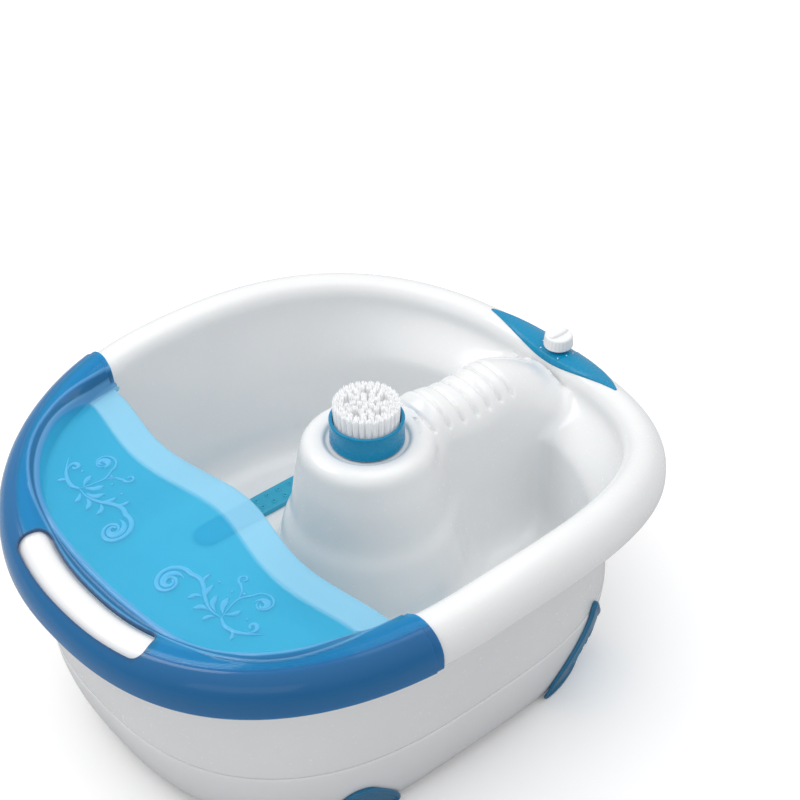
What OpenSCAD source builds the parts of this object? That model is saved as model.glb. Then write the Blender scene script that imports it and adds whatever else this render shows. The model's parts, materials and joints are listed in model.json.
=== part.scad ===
// Foot spa basin: a bubbling, heated and vibrating tub with a lift-off splash guard.
// Millimetres, +Z up, origin on the ground under the middle of the tub.
// The toe end (splash guard, hand slot) faces -Y, the heel end (control) faces +Y.

/* [Rim] */
// Half of the width across the top line of the rolled rim
rim_half_w = 168.5; // [164:0.5:172]
// Reach of the rim's top line towards the toe end
rim_front = 195.7; // [194:0.1:198]
// Reach of the rim's top line towards the heel end
rim_rear = 198.3; // [196:0.1:200]
// Mean height of the rim's top line above the ground
rim_h = 181.6; // [176:0.2:188]
// How much lower the rim is at its two ends than at its sides
rim_saddle = 25.4; // [22:0.2:28]
// Reach of the roll outside its top line
roll_out = 18; // [16:0.5:19]
// Drop of the outer half of the roll
roll_drop = 21.3; // [20:0.1:23]
// Reach of the roll inside its top line
roll_in = 11; // [10:0.5:12]

/* [Body] */
// Height of the parting line between the tub and the base tray
seam_z = 62; // [60:0.5:64]
// Half of the body's width at the parting line
seam_half_w = 155; // [153:0.5:157]
// Inside height of the foot wells' floor
floor_z = 45; // [44:0.5:46]
// Wall thickness of the tub
wall = 3; // [2.6:0.1:3.2]
// Wall thickness of the skirt and the base tray
skin = 2.5; // [2.2:0.1:2.8]
// Height of the arch under the base tray, midway between two feet
arch_z = 10; // [8:0.5:11]

/* [Centre hump] */
// Distance of the brush from the middle, towards the heel end
hump_y = 27; // [25:0.5:29]
// Height of the hump's top
hump_z = 163; // [161:0.5:164]

/* [Splash guard] */
// Thickness of the clear guard
guard_t = 2.2; // [2:0.1:2.4]
// Gap between the guard and the rim it clips over
guard_gap = 0.4; // [0.35:0.05:0.5]
// Where the guard's rear edge crosses the rim
guard_y = -65; // [-68:0.5:-63]

/* [Drive] */
// Radius of the vibration motor's can
motor_r = 18; // [17:0.5:18]
// Radius of the motor shaft
shaft_r = 1.6; // [1.5:0.1:1.8]
// Radius of the unbalanced weight
weight_r = 14; // [12:0.5:15]
// Radius of the supply cord
cord_r = 2.75; // [2.5:0.05:2.9]

/* [Hidden] */
$fn = 48;

BEARINGS = [for (p = [0:6:354]) p]; // stations of a lofted ring, degrees
normal_step = 0.6; // degrees either side of a bearing, for taking a normal
roll_in_drop = 11.8; // drop of the inner half of the roll
rim_wide_y = -25; // where the rim is widest
crest_span = 181.6; // distance along Y that scales the rim's height curve
body_wide_y = -20; // where the body and the basin are widest
cove_z = 112; // height of the body's plan from which the cove starts

knob_y = rim_rear + 2.5;
knob_z = 152.2;
boss_xy = [[112, 45], [-112, 45], [95, -108], [-95, -108], [84, 122], [-84, 122]];
board_posts = [for (x = [62, 110], y = [76, 108]) [x, y]];
pad_xy = [[117, 83], [-117, 83], [120, -85], [-120, -85]];
rear_foot_bearing = 49;
front_foot_bearing = 118.5;
bracket_x = 86; // the bracket's screws, either side of the middle
motor_z = 66;
strip_x = 100; // bubble strips
barb_y = 62; // the barbs under the strips
pump_y = 106;
pump_half_w = 26;
pump_half_l = 37;
nozzle_x = 12;
nozzle_z = 26;
heater_y = -95;
element_r = 3.2;
element_bend_r = 23;
wire_r = 1.1;
hub_y = 10; // middle of the wound cord
relief_xy = [-60, 105];
plug_x = -3;
pin_y = 6.35; // half of the pins' spacing

// ---------- plan and height functions ----------
function mix(from, to, share) = from + (to - from) * share;
function clamp(value) = max(0, min(1, value));
function rev(list) = [for (i = [len(list) - 1:-1:0]) list[i]];
function lift(xy, z) = [xy[0], xy[1], z];
// Unit normal on the left of a step; it points outwards where the bearing grows
function outward(from, to) = let (along = (to - from) / norm(to - from)) [-along[1], along[0]];

// Egg-shaped plan, its bearing taken from the heel end and turning towards +X
function egg(bearing, half_w, front, rear, wide_y, front_pow, rear_pow) =
    let (s = abs(sin(bearing)),
        c = cos(bearing),
        reach = c > 0 ? rear - wide_y : front + wide_y,
        power = c > 0 ? rear_pow : front_pow,
        radius = pow(pow(s / half_w, power) + pow(abs(c) / reach, power), -1 / power))
    [radius * sin(bearing), wide_y + radius * c];

// The rim's top line
function crest(bearing) = egg(bearing, rim_half_w, rim_front, rim_rear, rim_wide_y, 2.25, 2.68);
function crest_normal(bearing) =
    outward(crest(bearing - normal_step), crest(bearing + normal_step));
function crest_z(y) = let (s = y / crest_span)
    rim_h - 1.1 * s - rim_saddle * (s * s - 0.1) - 1.7 * s * s * s;
// A point beside the rim's top line
function rim_pt(bearing, out, up) = let (top = crest(bearing))
    lift(top + crest_normal(bearing) * out, crest_z(top[1]) + up);
// The rolled surface at a distance out from its top line, raised
function roll_pt(bearing, out, raise) =
    let (reach = out > 0 ? roll_out : roll_in,
        drop = out > 0 ? roll_drop : roll_in_drop,
        share = clamp(abs(out) / reach))
    rim_pt(bearing, out * (1 + raise / reach), drop * (sqrt(1 - share * share) - 1) + raise);

// The body's taper towards the ground and its flare above the parting line, 0 to 1
function taper(z) = pow(clamp((seam_z - z) / (seam_z - 4)), 1.7);
function flare(z) = clamp((z - seam_z) / 50);
function body_xy(bearing, z) = egg(bearing,
    seam_half_w - 12 * taper(z) + 5 * flare(z),
    192 - 17 * taper(z) + 3 * flare(z),
    165 - 18 * taper(z) + 14 * flare(z),
    body_wide_y, 2.5, 3.2 - 0.85 * flare(z));
function body_normal(bearing, z) =
    outward(body_xy(bearing - normal_step, z), body_xy(bearing + normal_step, z));
function body_pt(bearing, z, out = 0) =
    lift(body_xy(bearing, z) + body_normal(bearing, z) * out, z);

// The basin's inner surface, thickened outwards
function basin_pt(bearing, z, half_w, front, rear, thick) =
    lift(egg(bearing, half_w + thick, front + thick, rear + thick, body_wide_y, 2.4, 2.7), z);

// ---------- lofts ----------
// Two triangles over the corners a, b and, opposite them, c, d
function quad(a, b, c, d) = [[a, b, c], [b, d, c]];

// Closed rings stacked from the bottom to the top, with a point capping each end
module loft(rings, bottom, top) {
    m = len(rings);
    n = len(rings[0]);
    function id(i, j) = i * n + j % n;
    polyhedron(points = concat([for (r = rings) each r], [bottom, top]), faces = concat(
        [for (i = [0:m - 2], j = [0:n - 1])
            each quad(id(i, j), id(i, j + 1), id(i + 1, j), id(i + 1, j + 1))],
        [for (j = [0:n - 1]) [m * n, id(0, j + 1), j]],
        [for (j = [0:n - 1]) [m * n + 1, id(m - 1, j), id(m - 1, j + 1)]]), convexity = 8);
}

// A curved slab between two grids of points
module slab(upper, lower) {
    m = len(upper);
    n = len(upper[0]);
    o = m * n;
    function id(i, j) = i * n + j;
    polyhedron(points = concat([for (r = upper) each r], [for (r = lower) each r]), faces = concat(
        [for (i = [0:m - 2], j = [0:n - 2])
            each quad(id(i, j), id(i, j + 1), id(i + 1, j), id(i + 1, j + 1))],
        [for (i = [0:m - 2], j = [0:n - 2])
            each quad(o + id(i, j), o + id(i + 1, j), o + id(i, j + 1), o + id(i + 1, j + 1))],
        [for (i = [0:m - 2]) let (a = id(i, 0), b = id(i + 1, 0))
            each quad(a, b, o + a, o + b)],
        [for (i = [0:m - 2]) let (a = id(i, n - 1), b = id(i + 1, n - 1))
            each quad(a, o + a, b, o + b)],
        [for (j = [0:n - 2]) let (a = id(0, j), b = id(0, j + 1))
            each quad(a, o + a, b, o + b)],
        [for (j = [0:n - 2]) let (a = id(m - 1, j), b = id(m - 1, j + 1))
            each quad(a, b, o + a, o + b)]), convexity = 8);
}

// ---------- shared shapes ----------
// The children as one smooth moulding
module moulded() { resize([0, 0, 0]) children(); }
module box(corner, size) { translate(corner) cube(size); }
module disc(z, height, radius) { translate([0, 0, z]) cylinder(h = height, r = radius); }
module at_each(places) { for (q = places) translate([q[0], q[1], 0]) children(); }
// The children moved, not mirrored, to both sides of the middle
module pair(x, y = 0, z = 0) { for (s = [-1, 1]) translate([s * x, y, z]) children(); }
// The children's Z axis laid along +X
module along_x(x, y, z) { translate([x, y, z]) rotate([0, 90, 0]) children(); }
// A flat section swept round a bend
module bend(angle, radius) { rotate_extrude(angle = angle) translate([radius, 0]) children(); }
module tube(height, outer_r, inner_r) {
    difference() {
        cylinder(h = height, r = outer_r);
        disc(-1, height + 2, inner_r);
    }
}
module rod(from, to, radius) {
    v = to - from;
    length = norm(v);
    translate(from) rotate([0, acos(v[2] / length), atan2(v[1], v[0])])
        cylinder(h = length, r = radius);
}

// ---------- tub ----------
// Cove under the roll: distance outside the rim's top line, height from it, share of the rim's plan
cove_rows = [[4, -34, 0.25], [9, -28.5, 0.75]];
function cove_pt(bearing, row, inset) = let (rim = rim_pt(bearing, row[0], row[1]))
    lift(mix(body_pt(bearing, cove_z, -inset), rim, row[2]), rim[2] + inset);

// Skirt, cove and roll, from the parting line up and over to the roll's inner edge, drawn in
function rim_rings(inset) = concat(
    [for (z = [seam_z, 78, 94]) [for (p = BEARINGS) body_pt(p, z, -inset)]],
    [for (row = cove_rows) [for (p = BEARINGS) cove_pt(p, row, inset)]],
    [[for (p = BEARINGS) rim_pt(p, roll_out - 1.6 - inset, -27.5 + inset)]],
    [for (a = inset > 0 ? [72, 48, 24] : [101, 90, 66, 42, 20])
        [for (p = BEARINGS) rim_pt(p, (roll_out - inset) * sin(a),
            a > 90 ? -25 : (roll_drop - inset) * cos(a) - roll_drop)]],
    [for (a = inset > 0 ? [0, 50, 90] : [0, 35, 70, 90])
        [for (p = BEARINGS) rim_pt(p, -(roll_in - inset) * sin(a),
            (roll_in_drop - inset) * cos(a) - roll_in_drop)]]);

// Basin: height above the floor, half width, front reach, rear reach,
// share of the thickness that goes sideways and not down
basin_rows = [
    [65, 151, 182, 159, 1], [40, 147.5, 177, 155, 1], [15, 144, 172, 151, 1],
    [6, 141, 169, 148, 0.8], [1.5, 136, 164, 143, 0.4], [0, 129, 157, 136, 0]];
function roll_edge(bearing, thick) = rim_pt(bearing, -roll_in + thick, -roll_in_drop);
// The basin's wall and floor, from the rim down to the floor's edge, thickened
function wall_rings(thick) = concat(
    [[for (p = BEARINGS)
        mix(basin_pt(p, 110, 151, 182, 159, thick), roll_edge(p, thick), 0.55) + [0, 0, 2]]],
    [for (row = basin_rows) [for (p = BEARINGS)
        basin_pt(p, floor_z + row[0] - thick * (1 - row[4]),
            row[1], row[2], row[3], thick * row[4])]]);

// The space inside the basin, reaching into its wall
module basin_block(thick) {
    loft(concat(rev(wall_rings(thick)), [[for (p = BEARINGS) roll_edge(p, thick)]]),
        [0, 0, floor_z - thick - 1], [0, 0, 235]);
}
module tub_shell() {
    loft(concat(rev(concat(rim_rings(skin), wall_rings(wall))), rim_rings(0), wall_rings(0)),
        [0, 0, floor_z - wall], [0, 0, floor_z]);
}

// Side of the hump: radius, height from its top
hump_rows = [[38.5, -1.5], [43, -5], [46, -16], [49, -29], [53, -58],
    [58, -68], [62, -85], [66, -104], [71, -118]];
ridge_base_z = 45;
// How far down the ridge's side the points of its section are
ridge_shares = [0.015, 0.05, 0.11, 0.2, 0.35, 0.6, 0.85, 1];
function ridge_top(y) = mix(hump_z - 1.5, hump_z - 7.5, pow(sin(90 * clamp((y - 55) / 45)), 2))
    + 2 * pow(sin(90 * clamp((y - 105) / 35)), 2) - 19 * pow(clamp((y - 132) / 55), 1.5);
function ridge_w(y) = 25 + 14 * pow(clamp((y - 125) / 60), 2);
// Half section of the ridge, from its top down to bottom
function ridge_half(y, inset, bottom) =
    let (top = ridge_top(y) - inset, w = ridge_w(y) - inset, drop = top - ridge_base_z)
    concat([[0, top]],
        [for (u = ridge_shares)
            [w * sqrt(1 - pow(1 - u, 6)) + 10 * u + 12 * pow(u, 5), top - u * drop]],
        [[w + 22, bottom]]);
function ridge_ring(y, inset, bottom) =
    let (half = ridge_half(y, inset, bottom))
    concat([for (q = half) [-q[0], y, q[1]]],
        [for (i = [len(half) - 1:-1:1]) [half[i][0], y, half[i][1]]]);

// The hump under the brush and the ridge that runs from it to the heel end, drawn in
module hump(inset, bottom) {
    hollow = inset > 0;
    top = hump_z - inset * 2.2;
    translate([0, hump_y, 0]) rotate_extrude($fn = 48) polygon(concat(
        [[0, top], [34.5, top]],
        hollow ? [] : [[36.5, hump_z - 0.5]],
        [for (q = hump_rows)
            [q[0] - inset, hump_z - inset + q[1] - (hollow && q[1] > -6 ? 2.4 : 0)]],
        [[71 - inset, bottom], [0, bottom]]));
    stations = concat([hump_y, 60, 80, 100, 115, 130, 145], hollow ? [156, 157] : [162, 176, 190]);
    loft([for (y = stations) ridge_ring(y, inset, bottom)],
        [0, hump_y, 100], [0, stations[len(stations) - 1], 100]);
}

module tub_raw() {
    difference() {
        union() {
            tub_shell();
            intersection() {
                hump(0, floor_z - wall / 2);
                basin_block(wall / 2);
            }
            at_each(boss_xy) disc(24, 19.5, 4.6, $fn = 20);
            pair(bracket_x, hump_y) disc(38, 5.5, 5, $fn = 24);
        }
        hump(wall, 30);
        at_each(boss_xy) disc(23, 16, 2.05, $fn = 16);
        pair(bracket_x, hump_y) disc(37, 6.5, 2.05, $fn = 16);
        // holes for the bubble strips' barbs
        pair(strip_x, barb_y) disc(30, 30, 3.6, $fn = 24);
        // shallow dish and socket hole for the brush
        translate([0, hump_y, 0]) {
            disc(hump_z - 4.2, 10, 27.6, $fn = 48);
            disc(140, 30, 11.2, $fn = 32);
        }
        // seat of the control panel, and the hole for the switch
        leaf(-1.9, 4, 0.3);
        translate([0, knob_y, 0]) disc(130, 30, 5.2, $fn = 32);
    }
}
module tub() { color("whitesmoke") moulded() tub_raw(); }

// ---------- base tray ----------
corner_z = 3; // height of the underside at the feet
// Bearing warped so that the low corners fall under the feet
function arch_bearing(bearing) =
    let (q = abs((bearing + 180) % 360 - 180), rear = rear_foot_bearing, front = front_foot_bearing)
    q < rear ? q * 45 / rear
    : q < front ? 45 + (q - rear) * 90 / (front - rear)
    : 135 + (q - front) * 45 / (180 - front);
// The underside is arched between the four corners
function arch(bearing) =
    corner_z + (arch_z - corner_z) * pow(abs(cos(2 * arch_bearing(bearing))), 0.8);

// Underside: height of the body's plan, offset from it, height above the arch
under_rows = [[6, -9, 0], [6, -1.5, 0], [8, 0, 1.5]];
module tray_outer() {
    top = seam_z - 0.3;
    loft(concat(
        [[for (p = BEARINGS) lift(body_pt(p, 6, -42), arch_z)]],
        [for (row = under_rows)
            [for (p = BEARINGS) lift(body_pt(p, row[0], row[1]), arch(p) + row[2])]],
        [for (z = [16, 26, 38, 50, top]) [for (p = BEARINGS) body_pt(p, z)]]),
        [0, 0, arch_z], [0, 0, top]);
}
module tray_inner() {
    top = seam_z + 2;
    loft(concat(
        [[for (p = BEARINGS) body_pt(p, 13, -8)]],
        [for (z = [18, 28, 40, 50, top]) [for (p = BEARINGS) body_pt(p, z, -skin)]]),
        [0, 0, 13], [0, 0, top]);
}
// Hooks that hold the wound cord
module cord_hooks() {
    for (s = [-1, 1]) {
        box([s * 57 - 3, hub_y - 4, 1], [6, 8, 10]);
        box([s > 0 ? 54 : -84, hub_y - 4, 1], [30, 8, 1.3]);
    }
}
module tray_raw() {
    difference() {
        union() {
            difference() {
                tray_outer();
                tray_inner();
            }
            at_each(boss_xy) disc(12, 11.8, 5, $fn = 24);
            // ceiling of the plug's parking pocket
            box([-38, hub_y - 17, 12], [90, 34, 9.5]);
            at_each(board_posts) disc(12, 6, 3, $fn = 20);
            cord_hooks();
        }
        box([-36, hub_y - 15, -1], [86, 30, 20]);
        at_each(boss_xy) {
            disc(-1, 30, 2.3, $fn = 24);
            disc(-1, 15, 4.2, $fn = 24);
        }
        at_each([relief_xy]) disc(-1, 20, 6.1, $fn = 32);
    }
}
module base_tray() { color("whitesmoke") moulded() tray_raw(); }

// ---------- splash guard ----------
guard_bearings = [99, for (p = [102:6:258]) p, 261];
guard_edge = 15.5; // the panel's edge, inside the rim's top line
// Height of the panel: just under the rim's top line at the toe, sunken towards the middle
function panel_z(y) = crest_z(y) - 4.5 - 10.5 * pow(clamp((y + 150) / 75), 1.6);
function rear_y(x) = let (u = abs(x) / 150)
    guard_y - 6 - 10 * pow(sin(180 * clamp(u * 1.02)), 2) - 2 * u;
// One station of the sheet, raised above the roll: over the rim from outside,
// down its inner edge and along the sunken panel to the rear edge
function guard_row(bearing, raise) =
    let (upper = raise > guard_gap,
        start = rim_pt(bearing, upper ? -guard_edge : -13.7, 0),
        edge = rim_pt(bearing, -guard_edge, 0),
        end_y = max(rear_y(edge[0]), edge[1] + 0.6),
        thick = upper ? 0 : guard_t,
        sink = crest_z(edge[1]) - panel_z(edge[1]))
    concat([rim_pt(bearing, roll_out + raise, -26)],
        [for (out = [roll_out, 17.2, 15, 11.5, 7, 2, -2, -6, -9.5]) roll_pt(bearing, out, raise)],
        [rim_pt(bearing, upper ? -13.4 : -11.6, upper ? -1.6 - 0.43 * sink : -3.4 - 0.41 * sink)],
        [for (j = [0:6])
            let (q = j == 0 ? [start[0], start[1]] : [edge[0], mix(edge[1], end_y, j / 6)])
            lift(q, panel_z(q[1]) - thick)]);
module hand_slot() {
    function grid(z) = [for (i = [0:13])
        [for (out = [-14.5, 10.3]) lift(rim_pt(mix(160.7, 199.3, i / 13), out, 0), z)]];
    slab(grid(190), grid(120));
}
module splash_guard() {
    color([0.12, 0.5, 0.8, 0.6]) moulded() difference() {
        slab([for (p = guard_bearings) rev(guard_row(p, guard_gap + guard_t))],
            [for (p = guard_bearings) rev(guard_row(p, guard_gap))]);
        box([-220, guard_y, 0], [440, 300, 300]);
        hand_slot();
    }
}

// ---------- control ----------
// A leaf-shaped patch of the rim's heel end, between two levels above its surface
module leaf(low, high, grow) {
    function grid(raise) = [for (i = [0:14])
        let (s = i / 7 - 1, half_w = 11.5 * (1 - s * s) + 0.6 + grow)
        [for (j = [0:6]) roll_pt(s * (16 + grow / 3.5), 2.5 + (j / 3 - 1) * half_w, raise)]];
    slab(grid(high), grid(low));
}
module control_panel() {
    color("deepskyblue") difference() {
        moulded() leaf(-1.6, 1.2, 0);
        translate([0, knob_y, 0]) disc(130, 40, 4.05);
    }
}
module control_knob() {
    color("white") {
        translate([0, knob_y, 0]) disc(142, 14, 2.5);
        translate([0, knob_y, knob_z + 1.2]) difference() {
            union() {
                cylinder(h = 8, r = 10.5);
                translate([0, 0, 8]) cylinder(h = 1, r1 = 10.5, r2 = 9.5);
                box([-1.6, -9, 8], [3.2, 18, 2.6]);
            }
            box([-0.6, -9, 10], [1.2, 6, 2]);
        }
    }
}
module rotary_switch() {
    color("dimgray") translate([0, knob_y, 0]) difference() {
        union() {
            box([-8.5, -10, 131], [17, 16.5, 9.6]);
            disc(140, 10.4, 3.95);
            for (x = [-5, 0, 5]) box([x - 0.4, -7, 127.5], [0.8, 3, 4]);
        }
        disc(138, 15, 2.55);
    }
}

// ---------- brush ----------
module brush_socket() {
    color("gainsboro") translate([0, hump_y, 0]) difference() {
        union() {
            disc(144, 16.2, 11);
            disc(153.4, 1.5, 14);
        }
        disc(146, 20, 6.05);
    }
}
module socket_seal() {
    color("black") translate([0, hump_y, 154.95]) tube(1.4, 13.6, 11.3);
}
module brush_cup() {
    color("deepskyblue") translate([0, hump_y, 0]) {
        difference() {
            union() {
                disc(160.6, 17.4, 25);
                // rounded lip
                translate([0, 0, 178]) rotate_extrude() translate([23.8, 0])
                    circle(r = 1.2, $fn = 24);
            }
            disc(167, 20, 22.6);
            // ring groove underneath
            translate([0, 0, 159]) rotate_extrude() polygon([[10, 0], [22, 0], [22, 4], [10, 4]]);
        }
        disc(148, 15, 6);
    }
}
// Rings of tufts: radius, number of places, every how many places one is left out (0: none)
tuft_rings = [[20.3, 30, 0], [16.4, 22, 0], [12.4, 15, 3], [8.4, 10, 0], [4.2, 5, 0]];
tuft_r = 1.35;
module brush_bristles() {
    color("white") translate([0, hump_y, 0]) {
        disc(167.05, 3.4, 22.4);
        for (q = tuft_rings, i = [0:q[1] - 1])
            if (q[2] == 0 || i % q[2] != 0)
                rotate([0, 0, 360 / q[1] * i]) translate([q[0], 0, 170])
                    cylinder(h = 22 + (i % 3) * 0.4, r = tuft_r);
        disc(170, 22, tuft_r);
    }
}

// ---------- feet ----------
foot_base = 0.8;
// A foot wraps a corner of the body, crowned in the middle: half_w wide low down, tip at the top
module foot(bearing, height, half_w, tip) {
    rise = height - foot_base;
    levels = [for (i = [0:10]) foot_base + rise * (1 - pow(1 - i / 10, 1.15))];
    function width(z) = let (u = (z - foot_base) / rise)
        max(0.8, (tip + (half_w - tip) * pow(cos(90 * clamp(pow(u, 1.15) * 1.08)), 1.5))
            * sqrt(1 - pow(u, 9)) * (u < 0.08 ? 0.9 + u / 0.8 : 1));
    function inner(z) = 0.35 + 0.75 * clamp((18 - z) / 6);
    function outer(z, s) = 1.6 + 2.6 * sqrt(1 - s * s * 0.98) * (1 - 0.35 * z / height);
    // 3.25 mm round the body to a degree
    function grid(outside) = [for (z = levels) [for (j = [0:10])
        let (s = j / 5 - 1)
        lift(body_pt(bearing + s * width(z) / 3.25, max(z, 4),
            outside ? outer(z, s) : inner(z)), z)]];
    slab(grid(true), grid(false));
}
// Three upright slots, the middle one the tallest
module foot_slots(bearing, height) {
    for (k = [-1, 0, 1]) {
        place = body_xy(bearing + k * 3.1, height * 0.3);
        normal = body_normal(bearing + k * 3.1, height * 0.3);
        translate(lift(place, height * (0.18 + 0.03 * abs(k))))
            rotate([0, 0, atan2(normal[1], normal[0])])
                box([2.2, -2.2, 0], [6, 4.4, height * (0.34 - 0.06 * abs(k))]);
    }
}
module slotted_foot(bearing, height, half_w, tip) {
    difference() {
        foot(bearing, height, half_w, tip);
        foot_slots(bearing, height);
    }
}
module rear_foot() { slotted_foot(rear_foot_bearing, 68, 36, 7); }
module front_foot() { slotted_foot(front_foot_bearing, 36, 34, 13); }
module rear_right_foot() { color("teal") moulded() rear_foot(); }
module rear_left_foot() { color("teal") moulded() mirror([1, 0, 0]) rear_foot(); }
module front_right_foot() { color("teal") moulded() front_foot(); }
module front_left_foot() { color("teal") moulded() mirror([1, 0, 0]) front_foot(); }
module rubber_pads() { color("darkslategray") at_each(pad_xy) disc(0, 2.9, 7.5); }

// ---------- vibration drive ----------
module on_motor_axis(x) { along_x(x, hump_y, motor_z) children(); }
module vibration_motor() {
    color("silver") difference() {
        union() {
            on_motor_axis(-24) cylinder(h = 46, r = motor_r);
            for (x = [22, -27]) on_motor_axis(x) cylinder(h = 3, r = 6);
            // terminal tags
            for (s = [-1, 1]) box([-30, hump_y + s * 9 - 1.5, motor_z - 0.3], [6.2, 3, 0.6]);
        }
        on_motor_axis(-30) cylinder(h = 60, r = shaft_r + 0.05);
    }
}
module motor_shaft() { color("lightgray") on_motor_axis(-28) cylinder(h = 68, r = shaft_r); }
module eccentric_weight() {
    color("dimgray") on_motor_axis(28) difference() {
        union() {
            intersection() {
                cylinder(h = 10, r = weight_r);
                box([0, -20, -1], [20, 40, 12]);
            }
            cylinder(h = 10, r = 4);
        }
        disc(-1, 12, shaft_r + 0.01);
    }
}
module motor_bracket() {
    color("gray") difference() {
        union() {
            box([-94, hump_y - 14, 35.4], [188, 28, 2.4]);
            for (x = [-16, 8]) {
                on_motor_axis(x) cylinder(h = 8, r = motor_r + 2.6);
                box([x, hump_y - 12, 37], [8, 24, 14]);
            }
        }
        for (x = [-17, 7]) on_motor_axis(x) cylinder(h = 10, r = motor_r + 0.06);
        pair(bracket_x, hump_y) disc(30, 12, 2.2);
    }
}
// A screw standing head down, with a hex recess: each part is [z, height, radius]
module screw(head, shank, recess) {
    difference() {
        union() {
            disc(head[0], head[1], head[2]);
            disc(shank[0], shank[1], shank[2]);
        }
        disc(recess[0], recess[1], recess[2], $fn = 6);
    }
}
module bracket_screws() {
    color("silver") pair(bracket_x, hump_y) screw([33, 2.35, 3.8], [35, 7.4, 1.9], [32.5, 1.6, 1.6]);
}

// ---------- air pump ----------
module air_pump_case() {
    color("gainsboro") translate([0, pump_y, 0]) {
        difference() {
            box([-pump_half_w, -pump_half_l, 13.2], [2 * pump_half_w, 2 * pump_half_l, 38]);
            box([-23.5, -34.5, 16], [47, 69, 40]);
            pair(nozzle_x, -30, nozzle_z) rotate([90, 0, 0]) cylinder(h = 10, r = 1.5);
        }
        // seats of the arm's pivot pin
        pair(19, -26, 16) difference() {
            box([-3, -5, -0.1], [6, 10, 27]);
            along_x(-5, 0, 21) cylinder(h = 10, r = 1.55);
        }
        pair(nozzle_x, -pump_half_l, nozzle_z) rotate([90, 0, 0]) tube(9, 2.5, 1.5);
    }
}
module air_pump_cover() {
    color("white") translate([0, pump_y, 0]) {
        box([-pump_half_w, -pump_half_l, 51.3], [2 * pump_half_w, 2 * pump_half_l, 2.4]);
        // locating rib underneath
        translate([-23.3, -34.3, 49.5]) difference() {
            cube([46.6, 68.6, 2]);
            box([2, 2, -1], [42.6, 64.6, 4]);
        }
    }
}
module pump_coil() {
    color("peru") translate([0, pump_y, 0]) {
        difference() {
            box([-14, 15, 18], [28, 18.8, 29]);
            box([-15, 12, 31], [30, 16, 12]);
        }
        box([-18, 16, 19], [36, 16, 9]);
    }
}
module pump_arm() {
    pivot_y = -26;
    color("silver") translate([0, pump_y, 37]) {
        union() {
            box([-8, -28, -1.2], [16, 52, 2.4]);
            along_x(-15.8, pivot_y, 0) cylinder(h = 31.6, r = 2.6);
            box([-6, 13, -3], [12, 12, 6]);
        }
        along_x(-23, pivot_y, 0) cylinder(h = 46, r = 1.5);
    }
}
// Pleated outline: radius, height
bellows_outline = [[0, 0], [12, 0], [12, 3], [9.5, 4.5], [12, 6], [12, 8], [9.5, 9.5],
    [12, 11], [12, 13], [9, 15], [9, 19.5], [0, 19.5]];
module pump_bellows() {
    color("black") translate([0, pump_y - 6, 16.2]) rotate_extrude() polygon(bellows_outline);
}

hose_bend_r = 8;
module hose_section() {
    difference() {
        circle(r = 4, $fn = 32);
        circle(r = 2.55, $fn = 32);
    }
}
module hose_run(length) { linear_extrude(length) hose_section(); }
module hose_bend() { bend(90, hose_bend_r) hose_section(); }
// A hose: out of the pump, round a bend to the side, and up to the strip's barb
module hose(s) {
    r = hose_bend_r;
    end_y = pump_y - 38.7;
    cross_y = barb_y - 2 * r;
    bend_y = cross_y + r;
    color("ghostwhite") {
        translate([s * nozzle_x, bend_y, nozzle_z]) rotate([-90, 0, 0]) hose_run(end_y - bend_y);
        translate([s * (nozzle_x + r), bend_y, nozzle_z])
            rotate([0, 0, s > 0 ? 180 : 270]) hose_bend();
        along_x(s > 0 ? nozzle_x + r : -strip_x + r, cross_y, nozzle_z)
            hose_run(strip_x - nozzle_x - 2 * r);
        translate([s * (strip_x - r), bend_y, nozzle_z])
            rotate([0, 0, s > 0 ? 270 : 180]) hose_bend();
        translate([s * strip_x, bend_y, nozzle_z + r])
            rotate([90, 0, 90]) rotate([0, 0, 270]) hose_bend();
        translate([s * strip_x, barb_y, nozzle_z + r]) hose_run(5.6);
    }
}
module left_air_hose() { hose(-1); }
module right_air_hose() { hose(1); }

module strip(s) {
    color("deepskyblue") translate([s * strip_x, 0, floor_z + 0.1]) difference() {
        union() {
            linear_extrude(4) {
                translate([-10, -40]) square([20, 104]);
                for (y = [-40, 64]) translate([0, y]) circle(r = 10);
            }
            translate([0, barb_y, 0]) disc(-8.6, 9, 2.5);
        }
        // air channel underneath, and the way into it from the barb
        translate([0, 0, -0.5]) linear_extrude(3) translate([-7, -38]) square([14, 92]);
        translate([0, barb_y, 0]) disc(-10, 12, 1.5);
        box([-1.5, 50, 0.6], [3, 14, 1.4]);
        for (i = [0:8], x = [-4, 4]) translate([x, -34 + i * 10, 0]) cylinder(h = 6, r = 0.6);
    }
}
module left_bubble_strip() { strip(-1); }
module right_bubble_strip() { strip(1); }

// ---------- heater ----------
module heater_plate() {
    color("silver") difference() {
        box([-70, heater_y - 33, 40], [140, 66, 1.9]);
        pair(60, heater_y) disc(39, 4, 2);
    }
}
// A U-shaped element with a thin pin at each end
module heating_element() {
    z = 36.7;
    rows = [heater_y - element_bend_r, heater_y + element_bend_r];
    color("darkred") {
        for (y = rows) along_x(-50, y, z) cylinder(h = 100, r = element_r);
        translate([50, heater_y, z]) rotate([0, 0, 270])
            bend(180, element_bend_r) circle(r = element_r, $fn = 32);
        for (y = rows) along_x(-62, y, z) cylinder(h = 12, r = 1.2);
    }
}
module thermal_cutout() {
    color("black") translate([0, heater_y, 0]) {
        disc(31, 8.9, 8);
        difference() {
            box([-12, -5, 38.2], [24, 10, 1.7]);
            pair(10) disc(37, 4, 1);
        }
        pair(4) box([-0.4, -2, 26], [0.8, 4, 5.2]);
    }
}

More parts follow.
